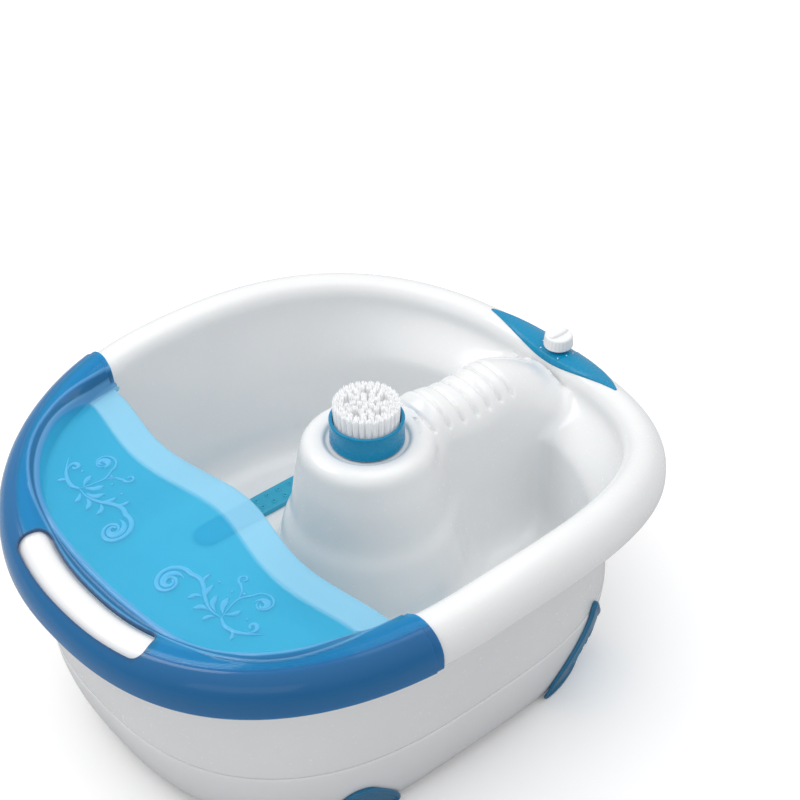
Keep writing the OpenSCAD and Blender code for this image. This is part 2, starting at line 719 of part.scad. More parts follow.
// ---------- electrical ----------
module circuit_board() {
    part_z = 19.6;
    color("darkgreen") difference() {
        union() {
            box([56, 70, 18.1], [60, 44, 1.6]);
            box([64, 78, part_z], [18, 15, 13]);
            translate([92, 84, part_z]) cylinder(h = 14, r = 6);
            box([90, 98, part_z], [14, 10, 9]);
        }
        at_each(board_posts) disc(17, 4, 1.4);
    }
}
module terminal_block() {
    color("ivory") difference() {
        box([-100, 86, 13.1], [30, 18, 16]);
        for (i = [0:2]) translate([-95 + i * 10, 85, 20]) {
            rotate([-90, 0, 0]) cylinder(h = 20, r = 1.8);
            translate([0, 10, 0]) cylinder(h = 12, r = 2.2);
        }
    }
}
// An insulated wire: straight pieces with a ball at each corner
module wire(points) {
    for (i = [0:len(points) - 2]) rod(points[i], points[i + 1], wire_r);
    for (i = [1:len(points) - 2]) translate(points[i]) sphere(r = wire_r * 1.2, $fn = 24);
}
wires = [
    // strain relief to circuit board
    [[-60, 105, 30.8], [-60, 128, 34], [-40, 148, 34], [40, 148, 34], [70, 117, 24]],
    // terminal block to heating element
    [[-95, 84.5, 20], [-95, 40, 20], [-78, -95, 26], [-66, -118, 36.7]],
    // terminal block to motor
    [[-75, 84.5, 20], [-60, 56, 20], [-45, 56, 46], [-31.5, hump_y + 9, motor_z]]];
module wiring_loom() { color("firebrick") for (points = wires) wire(points); }

module cord_run(x, y, length) { along_x(x, y, 0) cylinder(h = length, r = cord_r); }
module cord_bend(angle, radius) { bend(angle, radius) circle(r = cord_r, $fn = 32); }
// The cord leaves through the tray and is wound in a flat oval under it, ending in the plug
module power_cord() {
    pitch = 6.4;
    inner_r = 24;
    straight = 84;
    end_x = straight / 2;
    exit_r = 18;
    rise_r = 5;
    exit_y = inner_r + 2 * pitch + exit_r;
    relief_x = relief_xy[0];
    relief_y = relief_xy[1] - hub_y;
    color("whitesmoke") translate([0, hub_y, 5.4]) {
        // from the plug to the innermost turn
        cord_run(-22, 0, 26);
        translate([-22, -inner_r / 2, 0]) rotate([0, 0, 90]) cord_bend(180, inner_r / 2);
        cord_run(-22, -inner_r, 22 + end_x);
        for (i = [0:2]) {
            r = inner_r + i * pitch;
            translate([end_x, 0, 0]) rotate([0, 0, 270]) cord_bend(180, r);
            cord_run(-end_x, r, straight);
            if (i < 2) {
                translate([-end_x, -pitch / 2, 0]) rotate([0, 0, 90])
                    cord_bend(180, r + pitch / 2);
                cord_run(-end_x, -r - pitch, straight);
            }
        }
        // the way out: round to the heel end, along to the strain relief and up through it
        translate([-end_x, exit_y, 0]) rotate([0, 0, 180]) cord_bend(90, exit_r);
        translate([relief_x, exit_y, 0]) rotate([-90, 0, 0])
            cylinder(h = relief_y - rise_r - exit_y, r = cord_r);
        translate([relief_x, relief_y - rise_r, rise_r])
            rotate([90, 0, 90]) rotate([0, 0, 270]) cord_bend(90, rise_r);
        translate([relief_x, relief_y, rise_r]) cylinder(h = 19, r = cord_r);
    }
}
module strain_relief() {
    color("black") at_each([relief_xy]) difference() {
        union() {
            disc(10.5, 11.5, 6);
            disc(13.1, 2, 8);
            translate([0, 0, 22]) cylinder(h = 4, r1 = 6, r2 = 4);
        }
        cylinder(h = 40, r = cord_r + 0.05);
    }
}
module plug() {
    color("white") translate([plug_x, hub_y, 0]) difference() {
        union() {
            box([4, -11, 3.2], [30, 22, 13]);
            along_x(0, 0, 5.4) cylinder(h = 4.2, r = 3.9);
        }
        along_x(-0.5, 0, 5.4) cylinder(h = 8, r = cord_r + 0.05);
        for (s = [-1, 1]) box([28, s * pin_y - 0.8, 6.5], [8, 1.6, 6.4]);
    }
}
module plug_pins() {
    color("gold") translate([plug_x, hub_y, 0]) for (s = [-1, 1]) difference() {
        box([28.1, s * pin_y - 0.75, 6.55], [22, 1.5, 6.3]);
        translate([46, s * pin_y + 2, 9.7]) rotate([90, 0, 0]) cylinder(h = 4, r = 1.5);
    }
}
module base_screws() {
    color("silver") at_each(boss_xy) screw([11.4, 2.5, 3.9], [13, 20, 1.9], [11, 1.8, 1.6]);
}

tub();
base_tray();
splash_guard();
control_panel();
control_knob();
rotary_switch();
brush_cup();
brush_bristles();
brush_socket();
socket_seal();
front_left_foot();
front_right_foot();
rear_left_foot();
rear_right_foot();
rubber_pads();
vibration_motor();
motor_shaft();
eccentric_weight();
motor_bracket();
bracket_screws();
air_pump_case();
air_pump_cover();
pump_coil();
pump_arm();
pump_bellows();
left_air_hose();
right_air_hose();
left_bubble_strip();
right_bubble_strip();
heater_plate();
heating_element();
thermal_cutout();
circuit_board();
terminal_block();
wiring_loom();
power_cord();
strain_relief();
plug();
plug_pins();
base_screws();
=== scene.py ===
import json
import math
import bpy
import bmesh
import numpy as np
from mathutils import Matrix, Vector


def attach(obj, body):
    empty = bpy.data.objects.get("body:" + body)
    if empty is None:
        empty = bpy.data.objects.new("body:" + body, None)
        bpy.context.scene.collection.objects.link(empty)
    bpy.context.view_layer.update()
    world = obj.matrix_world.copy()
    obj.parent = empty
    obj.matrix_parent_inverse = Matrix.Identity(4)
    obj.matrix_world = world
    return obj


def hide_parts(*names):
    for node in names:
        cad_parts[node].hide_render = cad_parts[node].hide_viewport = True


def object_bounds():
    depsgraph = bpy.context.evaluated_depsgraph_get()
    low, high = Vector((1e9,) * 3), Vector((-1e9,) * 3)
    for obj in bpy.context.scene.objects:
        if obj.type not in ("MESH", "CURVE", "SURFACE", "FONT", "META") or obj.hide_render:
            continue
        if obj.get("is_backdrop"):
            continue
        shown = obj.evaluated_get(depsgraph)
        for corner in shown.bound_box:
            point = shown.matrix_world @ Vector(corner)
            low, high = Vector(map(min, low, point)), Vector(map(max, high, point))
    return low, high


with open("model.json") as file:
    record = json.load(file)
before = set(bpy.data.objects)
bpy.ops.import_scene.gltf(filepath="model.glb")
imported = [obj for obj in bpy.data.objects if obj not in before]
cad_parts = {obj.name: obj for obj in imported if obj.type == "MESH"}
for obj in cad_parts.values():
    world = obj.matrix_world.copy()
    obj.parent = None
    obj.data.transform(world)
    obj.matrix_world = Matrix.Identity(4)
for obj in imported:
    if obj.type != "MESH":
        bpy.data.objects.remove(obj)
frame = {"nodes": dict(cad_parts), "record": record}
NODES = frame["nodes"]


def as_lists(b):
    try:
        return [[float(c) for c in b[0]], [float(c) for c in b[1]]]
    except TypeError:
        return [[float(c) for c in b.low], [float(c) for c in b.high]]


CAD_BOX = as_lists(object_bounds())
MM = 0.001
rng = np.random.default_rng(7)

# ------------------------------------------------------------------ shape functions (millimetres)
HW, FR, RE = 168.5, 195.7, 198.3
R_OUT, R_DROP, R_IN, R_IN_DROP = 18.0, 21.3, 11.0, 11.8
SEAM = 62.0
HUMP_Y, HUMP_Z = 27.0, 163.0


def sat(t):
    return np.clip(t, 0.0, 1.0)


def smooth(a, b, t):
    u = sat((np.asarray(t, float) - a) / (b - a))
    return u * u * (3 - 2 * u)


def egg(p, hw, fr, re, yw, nf, nr):
    a = np.radians(p)
    s, c = np.abs(np.sin(a)), np.cos(a)
    b = np.where(c > 0, re - yw, fr + yw)
    n = np.where(c > 0, nr, nf)
    r = ((s / hw) ** n + (np.abs(c) / b) ** n) ** (-1.0 / n)
    return np.stack([r * np.sin(a), yw + r * np.cos(a)], -1)


def side_of(a, b):
    t = (b - a) / np.linalg.norm(b - a, axis=-1, keepdims=True)
    return np.stack([-t[..., 1], t[..., 0]], -1)


def crest(p):
    return egg(p, HW, FR, RE, -25.0, 2.25, 2.68)


def crest_n(p):
    return side_of(crest(p - 0.6), crest(p + 0.6))


def crest_z(y):
    s = y / 181.6
    return 181.6 - 1.1 * s - 25.4 * (s * s - 0.1) - 1.7 * s ** 3


def rim_pt(p, d, dz):
    p = np.asarray(p, float)
    c = crest(p)
    xy = c + crest_n(p) * np.asarray(d, float)[..., None]
    return np.concatenate([xy, (crest_z(c[..., 1]) + dz)[..., None]], -1)


def roll_pt(p, d, k):
    p, d, k = np.broadcast_arrays(np.asarray(p, float), np.asarray(d, float), np.asarray(k, float))
    e = np.where(d > 0, R_OUT, R_IN)
    h = np.where(d > 0, R_DROP, R_IN_DROP)
    q = sat(np.abs(d) / e)
    return rim_pt(p, d * (1 + k / e), h * (np.sqrt(1 - q * q) - 1) + k)


def low(z):
    return sat((SEAM - z) / (SEAM - 4)) ** 1.7


def high(z):
    return sat((z - SEAM) / 50)


def body_xy(p, z):
    return egg(p, 155 - 12 * low(z) + 5 * high(z), 190.2 + 1.8 - 17 * low(z) + 3 * high(z), 165 - 18 * low(z) + 14 * high(z), -20.0, 2.5, 3.2 - 0.85 * high(z))


def body_pt(p, z, d=0.0):
    p = np.asarray(p, float)
    z = np.broadcast_to(np.asarray(z, float), p.shape)
    xy = body_xy(p, z) + side_of(body_xy(p - 0.6, z), body_xy(p + 0.6, z)) * np.broadcast_to(np.asarray(d, float), p.shape)[..., None]
    return np.concatenate([xy, z[..., None]], -1)


# ------------------------------------------------------------------ mesh helpers
def make(name, verts, faces, mats, body, face_mat=None, smooth_angle=None, scale=MM):
    me = bpy.data.meshes.new(name)
    me.from_pydata([tuple(v) for v in (np.asarray(verts, float) * scale)], [], [tuple(int(i) for i in f) for f in faces])
    me.validate()
    ob = bpy.data.objects.new(name, me)
    bpy.context.scene.collection.objects.link(ob)
    for m in (mats if isinstance(mats, (list, tuple)) else [mats]):
        me.materials.append(m)
    if face_mat is not None and len(face_mat) == len(me.polygons):
        me.polygons.foreach_set("material_index", np.asarray(face_mat, np.int32))
    me.polygons.foreach_set("use_smooth", [True] * len(me.polygons))
    bm = bmesh.new()
    bm.from_mesh(me)
    bmesh.ops.remove_doubles(bm, verts=bm.verts, dist=1e-6)
    bmesh.ops.dissolve_degenerate(bm, edges=bm.edges, dist=1e-7)
    bmesh.ops.recalc_face_normals(bm, faces=bm.faces)
    if smooth_angle:
        lim = math.radians(smooth_angle)
        for e in bm.edges:
            if len(e.link_faces) == 2 and e.calc_face_angle(0.0) > lim:
                e.smooth = False
    bm.to_mesh(me)
    bm.free()
    me.update()
    if body:
        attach(ob, body)
    return ob


def ring_faces(m, n, base=0, flip=False):
    i, j = np.meshgrid(np.arange(m - 1), np.arange(n), indexing="ij")
    a = base + i * n + j
    b = base + i * n + (j + 1) % n
    c = base + (i + 1) * n + (j + 1) % n
    d = base + (i + 1) * n + j
    f = np.stack([a, b, c, d], -1).reshape(-1, 4)
    return f[:, ::-1] if flip else f


def grid_faces(m, n, base=0):
    i, j = np.meshgrid(np.arange(m - 1), np.arange(n - 1), indexing="ij")
    a = base + i * n + j
    return np.stack([a, a + 1, a + n + 1, a + n], -1).reshape(-1, 4)


def grid_normals(P):
    du = np.gradient(P, axis=0)
    dv = np.gradient(P, axis=1)
    n = np.cross(du, dv)
    return n / np.maximum(np.linalg.norm(n, axis=-1, keepdims=True), 1e-9)


def slab_mesh(top, bot):
    """A closed sheet between two grids of the same shape."""
    m, n = top.shape[:2]
    V = np.concatenate([top.reshape(-1, 3), bot.reshape(-1, 3)])
    o = m * n
    F = [tuple(f) for f in grid_faces(m, n)] + [tuple(f[::-1]) for f in grid_faces(m, n, o)]
    idx = lambda i, j: i * n + j
    for i in range(m - 1):
        F.append((idx(i, 0), idx(i + 1, 0), o + idx(i + 1, 0), o + idx(i, 0)))
        F.append((idx(i, n - 1), o + idx(i, n - 1), o + idx(i + 1, n - 1), idx(i + 1, n - 1)))
    for j in range(n - 1):
        F.append((idx(0, j), o + idx(0, j), o + idx(0, j + 1), idx(0, j + 1)))
        F.append((idx(m - 1, j), idx(m - 1, j + 1), o + idx(m - 1, j + 1), o + idx(m - 1, j)))
    return V, F


def revolve(prof, seg, centre=(0.0, 0.0), wobble=None):
    """Closed solid of revolution about a vertical axis, from a profile of (radius, height) that starts and ends on the axis or is a loop."""
    prof = np.asarray(prof, float)
    a = np.arange(seg) * 2 * math.pi / seg
    V = np.stack([centre[0] + prof[:, None, 0] * np.cos(a), centre[1] + prof[:, None, 0] * np.sin(a), np.repeat(prof[:, 1:2], seg, 1)], -1)
    return V.reshape(-1, 3), [tuple(f) for f in ring_faces(len(prof), seg)]


def round_poly(pts, r, n=5, closed=False):
    """A polyline with its corners rounded."""
    pts = [np.asarray(p, float) for p in pts]
    out = []
    k = len(pts)
    for i in range(k):
        if not closed and i in (0, k - 1):
            out.append(pts[i])
            continue
        a, b, c = pts[i - 1], pts[i], pts[(i + 1) % k]
        u, v = (a - b), (c - b)
        lu, lv = np.linalg.norm(u), np.linalg.norm(v)
        rr = min(r, lu * 0.45, lv * 0.45)
        p0, p1 = b + u / lu * rr, b + v / lv * rr
        for t in np.linspace(0, 1, n):
            out.append((1 - t) ** 2 * p0 + 2 * t * (1 - t) * b + t * t * p1)
    return np.array(out)


# ------------------------------------------------------------------ materials
def nodes_of(name):
    m = bpy.data.materials.new(name)
    m.use_nodes = True
    nt = m.node_tree
    nt.nodes.clear()
    return m, nt, nt.nodes, nt.links


def plastic(name, colour, rough=0.3, vary=0.03, bump=0.02, scale=220.0, coat=0.0, sheen=0.0, metallic=0.0, wear=0.0, wear_colour=None, fleck=0.0, sss=0.0, glow=0.0, stretch=None):
    """Moulded or metal surface: slow colour drift, fine grain in the bump and roughness, and scuffs along edges."""
    m, nt, N, L = nodes_of(name)
    out = N.new("ShaderNodeOutputMaterial")
    b = N.new("ShaderNodeBsdfPrincipled")
    L.new(b.outputs[0], out.inputs[0])
    co = N.new("ShaderNodeTexCoord")
    src = co.outputs["Object"]
    if stretch:
        mp = N.new("ShaderNodeMapping")
        mp.inputs["Scale"].default_value = stretch
        L.new(src, mp.inputs["Vector"])
        src = mp.outputs[0]
    n1 = N.new("ShaderNodeTexNoise")
    n1.inputs["Scale"].default_value = 14.0
    n1.inputs["Detail"].default_value = 3.0
    L.new(co.outputs["Object"], n1.inputs["Vector"])
    n2 = N.new("ShaderNodeTexNoise")
    n2.inputs["Scale"].default_value = scale
    n2.inputs["Detail"].default_value = 4.0
    n2.inputs["Roughness"].default_value = 0.65
    L.new(src, n2.inputs["Vector"])
    c = np.array(colour[:3])
    r1 = N.new("ShaderNodeValToRGB")
    r1.color_ramp.elements[0].position = 0.3
    r1.color_ramp.elements[1].position = 0.7
    r1.color_ramp.elements[0].color = (*np.clip(c * (1 - vary), 0, 1), 1)
    r1.color_ramp.elements[1].color = (*np.clip(c * (1 + vary * 0.6), 0, 1), 1)
    L.new(n1.outputs["Fac"], r1.inputs["Fac"])
    colour_out = r1.outputs["Color"]
    if fleck:
        mx = N.new("ShaderNodeMix")
        mx.data_type = "RGBA"
        mr = N.new("ShaderNodeMapRange")
        mr.inputs["From Min"].default_value = 0.5
        mr.inputs["From Max"].default_value = 0.75
        mr.inputs["To Max"].default_value = fleck
        L.new(n2.outputs["Fac"], mr.inputs["Value"])
        L.new(mr.outputs[0], mx.inputs["Factor"])
        L.new(colour_out, mx.inputs["A"])
        mx.inputs["B"].default_value = (*np.clip(c * 0.6, 0, 1), 1)
        colour_out = mx.outputs["Result"]
    if wear:
        g = N.new("ShaderNodeNewGeometry")
        wr = N.new("ShaderNodeMapRange")
        wr.inputs["From Min"].default_value = 0.52
        wr.inputs["From Max"].default_value = 0.62
        wr.inputs["To Max"].default_value = wear
        L.new(g.outputs["Pointiness"], wr.inputs["Value"])
        mw = N.new("ShaderNodeMath")
        mw.operation = "MULTIPLY"
        L.new(wr.outputs[0], mw.inputs[0])
        L.new(n1.outputs["Fac"], mw.inputs[1])
        mx = N.new("ShaderNodeMix")
        mx.data_type = "RGBA"
        L.new(mw.outputs[0], mx.inputs["Factor"])
        L.new(colour_out, mx.inputs["A"])
        mx.inputs["B"].default_value = (*(wear_colour or np.clip(c * 1.25 + 0.05, 0, 1)), 1)
        colour_out = mx.outputs["Result"]
    L.new(colour_out, b.inputs["Base Color"])
    rr = N.new("ShaderNodeMapRange")
    rr.inputs["To Min"].default_value = max(0.02, rough - 0.07)
    rr.inputs["To Max"].default_value = min(1.0, rough + 0.09)
    L.new(n2.outputs["Fac"], rr.inputs["Value"])
    L.new(rr.outputs[0], b.inputs["Roughness"])
    bp = N.new("ShaderNodeBump")
    bp.inputs["Strength"].default_value = bump
    bp.inputs["Distance"].default_value = 0.0006
    L.new(n2.outputs["Fac"], bp.inputs["Height"])
    L.new(bp.outputs[0], b.inputs["Normal"])
    b.inputs["Metallic"].default_value = metallic
    b.inputs["Coat Weight"].default_value = coat
    b.inputs["Coat Roughness"].default_value = 0.08
    if glow:
        # stands in for the light that many thin filaments pass on to each other
        L.new(colour_out, b.inputs["Emission Color"])
        b.inputs["Emission Strength"].default_value = glow
    if sss:
        b.inputs["Subsurface Weight"].default_value = sss
        b.inputs["Subsurface Scale"].default_value = 0.004
    return m


def clear(name, tint, body, share, rough=0.12, frost=0.0, bump=0.02, from_mesh=False):
    """Tinted clear plastic: light passes straight through with the tint, part of it is scattered by the pigment, and the surface is glossy."""
    m, nt, N, L = nodes_of(name)
    out = N.new("ShaderNodeOutputMaterial")
    co = N.new("ShaderNodeTexCoord")
    n1 = N.new("ShaderNodeTexNoise")
    n1.inputs["Scale"].default_value = 9.0
    n1.inputs["Detail"].default_value = 2.0
    L.new(co.outputs["Object"], n1.inputs["Vector"])
    n2 = N.new("ShaderNodeTexNoise")
    n2.inputs["Scale"].default_value = 900.0 if frost else 160.0
    n2.inputs["Detail"].default_value = 3.0
    L.new(co.outputs["Object"], n2.inputs["Vector"])
    t = np.array(tint)
    r1 = N.new("ShaderNodeValToRGB")
    r1.color_ramp.elements[0].color = (*np.clip(t * 0.94, 0, 1), 1)
    r1.color_ramp.elements[1].color = (*np.clip(t * 1.05, 0, 1), 1)
    L.new(n1.outputs["Fac"], r1.inputs["Fac"])
    tr = N.new("ShaderNodeBsdfTransparent")
    L.new(r1.outputs["Color"], tr.inputs["Color"])
    p = N.new("ShaderNodeBsdfPrincipled")
    b = np.array(body)
    r2 = N.new("ShaderNodeValToRGB")
    r2.color_ramp.elements[0].color = (*np.clip(b * 0.95, 0, 1), 1)
    r2.color_ramp.elements[1].color = (*np.clip(b * 1.05, 0, 1), 1)
    L.new(n1.outputs["Fac"], r2.inputs["Fac"])
    L.new(r2.outputs["Color"], p.inputs["Base Color"])
    rr = N.new("ShaderNodeMapRange")
    rr.inputs["To Min"].default_value = max(0.02, rough - 0.04)
    rr.inputs["To Max"].default_value = rough + 0.08
    L.new(n2.outputs["Fac"], rr.inputs["Value"])
    L.new(rr.outputs[0], p.inputs["Roughness"])
    bp = N.new("ShaderNodeBump")
    bp.inputs["Strength"].default_value = bump
    bp.inputs["Distance"].default_value = 0.0005
    L.new(n2.outputs["Fac"], bp.inputs["Height"])
    L.new(bp.outputs[0], p.inputs["Normal"])
    p.inputs["Coat Weight"].default_value = 0.22
    p.inputs["Coat Roughness"].default_value = 0.04
    base = None
    if from_mesh:
        # colour, tint and density follow the zones stored on the mesh, with the slow drift kept
        for attr, ramp, target in (("zone_tint", r1, tr.inputs["Color"]), ("zone_body", r2, p.inputs["Base Color"])):
            at = N.new("ShaderNodeAttribute")
            at.attribute_name = attr
            ramp.color_ramp.elements[0].color = (0.95, 0.95, 0.95, 1)
            ramp.color_ramp.elements[1].color = (1.05, 1.05, 1.05, 1)
            mul = N.new("ShaderNodeMix")
            mul.data_type = "RGBA"
            mul.blend_type = "MULTIPLY"
            mul.inputs["Factor"].default_value = 1.0
            L.new(at.outputs["Color"], mul.inputs["A"])
            L.new(ramp.outputs["Color"], mul.inputs["B"])
            L.new(mul.outputs["Result"], target)
        dn = N.new("ShaderNodeAttribute")
        dn.attribute_name = "zone_density"
        base = dn.outputs["Fac"]
        ro = N.new("ShaderNodeAttribute")
        ro.attribute_name = "zone_rough"
        ad = N.new("ShaderNodeMath")
        ad.operation = "ADD"
        L.new(rr.outputs[0], ad.inputs[0])
        L.new(ro.outputs["Fac"], ad.inputs[1])
        L.new(ad.outputs[0], p.inputs["Roughness"])
    mx = N.new("ShaderNodeMixShader")
    lw = N.new("ShaderNodeLayerWeight")
    lw.inputs["Blend"].default_value = 0.35
    mr = N.new("ShaderNodeMapRange")
    mr.inputs["To Min"].default_value = share
    mr.inputs["To Max"].default_value = min(1.0, share + 0.45)
    L.new(lw.outputs["Facing"], mr.inputs["Value"])
    L.new(mr.outputs[0], mx.inputs[0])
    if base is not None:
        mr.inputs["To Min"].default_value = 0.0
        mr.inputs["To Max"].default_value = 0.42
        sm = N.new("ShaderNodeMath")
        sm.operation = "ADD"
        sm.use_clamp = True
        L.new(mr.outputs[0], sm.inputs[0])
        L.new(base, sm.inputs[1])
        L.new(sm.outputs[0], mx.inputs[0])
    L.new(tr.outputs[0], mx.inputs[1])
    L.new(p.outputs[0], mx.inputs[2])
    L.new(mx.outputs[0], out.inputs[0])
    return m


WHITE = plastic("white_abs", (0.80, 0.806, 0.812), rough=0.24, vary=0.018, bump=0.025, scale=420, coat=0.35, sss=0.05)
WHITE_TRAY = plastic("white_abs_base", (0.78, 0.786, 0.793), rough=0.3, vary=0.02, bump=0.04, scale=380, coat=0.2, sss=0.04)
BAND = clear("clear_blue_band", (0.05, 0.42, 0.74), (0.008, 0.165, 0.40), 0.62, rough=0.1)
GUARD = clear("clear_blue_guard", (1, 1, 1), (1, 1, 1), 0.4, rough=0.10, from_mesh=True)
SCROLL = clear("clear_blue_scroll", (0.45, 0.86, 0.98), (0.12, 0.58, 0.90), 0.55, rough=0.18)
CYAN = plastic("cyan_abs", (0.0, 0.235, 0.44), rough=0.26, vary=0.05, bump=0.03, scale=400, coat=0.1)
CYAN_STRIP = plastic("cyan_strip_abs", (0.02, 0.36, 0.55), rough=0.35, vary=0.05, bump=0.05, scale=400)
for _n in CYAN.node_tree.nodes:
    if _n.type == "BSDF_PRINCIPLED":
        _n.inputs["Specular IOR Level"].default_value = 0.25
TEAL = plastic("teal_abs", (0.0, 0.13, 0.27), rough=0.3, vary=0.06, bump=0.04, scale=380, coat=0.1)
TEAL_LIGHT = plastic("teal_abs_slots", (0.05, 0.34, 0.52), rough=0.35, vary=0.05, bump=0.04, scale=380)
KNOB = plastic("knob_white_satin", (0.80, 0.81, 0.82), rough=0.42, vary=0.02, bump=0.08, scale=600)
BRISTLE = plastic("nylon_bristle", (0.93, 0.935, 0.945), rough=0.45, vary=0.03, bump=0.05, scale=900, glow=0.09)
CAD_MATS = {
    "grey_plastic": plastic("grey_moulded_plastic", (0.33, 0.34, 0.355), rough=0.5, vary=0.05, bump=0.12, scale=500),
    "black_rubber": plastic("black_rubber", (0.018, 0.018, 0.019), rough=0.72, vary=0.15, bump=0.2, scale=700),
    "grey_rubber": plastic("grey_rubber", (0.06, 0.065, 0.07), rough=0.75, vary=0.12, bump=0.22, scale=700),
    "steel": plastic("drawn_steel", (0.56, 0.57, 0.58), rough=0.3, vary=0.05, bump=0.08, scale=300, metallic=1.0, stretch=(1, 14, 14)),
    "zinc": plastic("zinc_plate", (0.58, 0.585, 0.57), rough=0.38, vary=0.09, bump=0.06, scale=120, metallic=1.0, fleck=0.25),
    "weight_iron": plastic("sintered_iron", (0.19, 0.19, 0.195), rough=0.55, vary=0.12, bump=0.3, scale=900, metallic=0.9, fleck=0.4),
    "copper": plastic("enamelled_copper", (0.60, 0.25, 0.11), rough=0.3, vary=0.08, bump=0.5, scale=60, metallic=0.9, stretch=(1, 1, 26)),
    "brass": plastic("plug_brass", (0.72, 0.55, 0.24), rough=0.25, vary=0.06, bump=0.05, scale=300, metallic=1.0),
    "aluminium": plastic("rolled_aluminium", (0.74, 0.75, 0.76), rough=0.33, vary=0.04, bump=0.08, scale=200, metallic=1.0, stretch=(20, 1, 1)),
    "element_red": plastic("insulated_element", (0.22, 0.045, 0.03), rough=0.5, vary=0.12, bump=0.2, scale=350),
    "hose_pvc": plastic("soft_pvc_hose", (0.68, 0.71, 0.70), rough=0.35, vary=0.05, bump=0.06, scale=400, sss=0.2),
    "board_green": plastic("solder_mask_green", (0.01, 0.115, 0.045), rough=0.35, vary=0.15, bump=0.15, scale=500, fleck=0.4),
    "ivory": plastic("ivory_plastic", (0.68, 0.65, 0.53), rough=0.5, vary=0.05, bump=0.08, scale=500),
    "wire": plastic("wire_insulation", (0.34, 0.02, 0.018), rough=0.4, vary=0.1, bump=0.08, scale=600),
    "cord_white": plastic("cord_sheath", (0.74, 0.75, 0.76), rough=0.45, vary=0.04, bump=0.14, scale=650),
    "white_shell": WHITE, "cyan_plastic": CYAN_STRIP, "teal_plastic": TEAL, "knob_white": KNOB, "bristle": BRISTLE, "clear_blue": BAND,
}

# every node that stays as packed takes a patterned material in its own slot
SLOT_OF = {s["node"]: s["material_slot"] for s in frame["record"]["subparts"]}
for node_name, ob in NODES.items():
    ob.data.materials.clear()
    ob.data.materials.append(CAD_MATS[SLOT_OF[node_name]])


# ------------------------------------------------------------------ tub: one continuous moulded skin
WALL, SKIN = 3.0, 2.5
P720 = np.arange(0, 360, 0.5)


def bearing(xy, yw=-20.0):
    return np.degrees(np.arctan2(xy[..., 0], xy[..., 1] - yw)) % 360


def periodic(p, table):
    return np.interp(p, np.append(P720, 360.0), np.append(table, table[0]))


def radius_table(points):
    b = bearing(points[:, :2])
    o = np.argsort(b)
    b, pts = b[o], points[o]
    r = np.hypot(pts[:, 0], pts[:, 1] + 20)
    bb = np.concatenate([b - 360, b, b + 360])
    return np.interp(P720, bb, np.tile(r, 3)), np.interp(P720, bb, np.tile(pts[:, 2], 3)), bb, o


P_FINE = np.arange(0, 360, 0.25)
_edge = rim_pt(P_FINE, -R_IN, -R_IN_DROP)
R_EDGE, Z_EDGE, _, _ = radius_table(_edge)
_eb = bearing(_edge[:, :2])
_eu = np.unwrap(np.radians(_eb)) * 180 / math.pi
EDGE_B = np.concatenate([_eu - 360, _eu, _eu + 360])
EDGE_P = np.concatenate([P_FINE - 360, P_FINE, P_FINE + 360])


def basin_table(hw, fr, re):
    e = egg(P720, hw, fr, re, -20.0, 2.4, 2.7)
    return np.hypot(e[:, 0], e[:, 1] + 20)


R110 = basin_table(151, 182, 159)
R45 = basin_table(142.0, 169.2, 148.5)


def smin(a, b, k):
    h = np.maximum(k - np.abs(a - b), 0.0) / k
    return np.minimum(a, b) - h * h * k * 0.25


def basin_r(p, z):
    r110, r45, re, ze = (periodic(p, t) for t in (R110, R45, R_EDGE, Z_EDGE))
    slope = (r110 - r45) / 65.0
    below = r110 - slope * (110 - z)
    h = sat((z - 110) / np.maximum(ze - 110, 1.0))
    span = np.maximum(ze - 110, 1.0)
    above = r110 * (2 * h ** 3 - 3 * h ** 2 + 1) + slope * span * (h ** 3 - 2 * h ** 2 + h) + re * (-2 * h ** 3 + 3 * h ** 2)
    return np.where(z < 110, below, above)


_hz = np.array([40, 45, 59, 78, 95, 105, 134, 147, 158, 175.0])
_hr = np.array([74, 71, 66, 62, 58, 53, 49, 46.3, 44.6, 43.5])
_zz = np.arange(36, 180, 0.5)
_k = np.exp(-0.5 * (np.arange(-20, 21) * 0.5 / 3.2) ** 2)
_k /= _k.sum()
H_TAB = np.convolve(np.pad(np.interp(_zz, _hz, _hr), 20, mode="edge"), _k, "valid")
RIB_Y = np.array([65.0, 78.0, 91.0, 103.0, 114.0, 124.5, 134.5])


def ridge_top(y):
    return 161.0 + 9.0 * smooth(62, 77, y) - 4.5 * smooth(72, 104, y) + 1.5 * smooth(106, 132, y) - 27 * sat((y - 134) / 53) ** 1.5


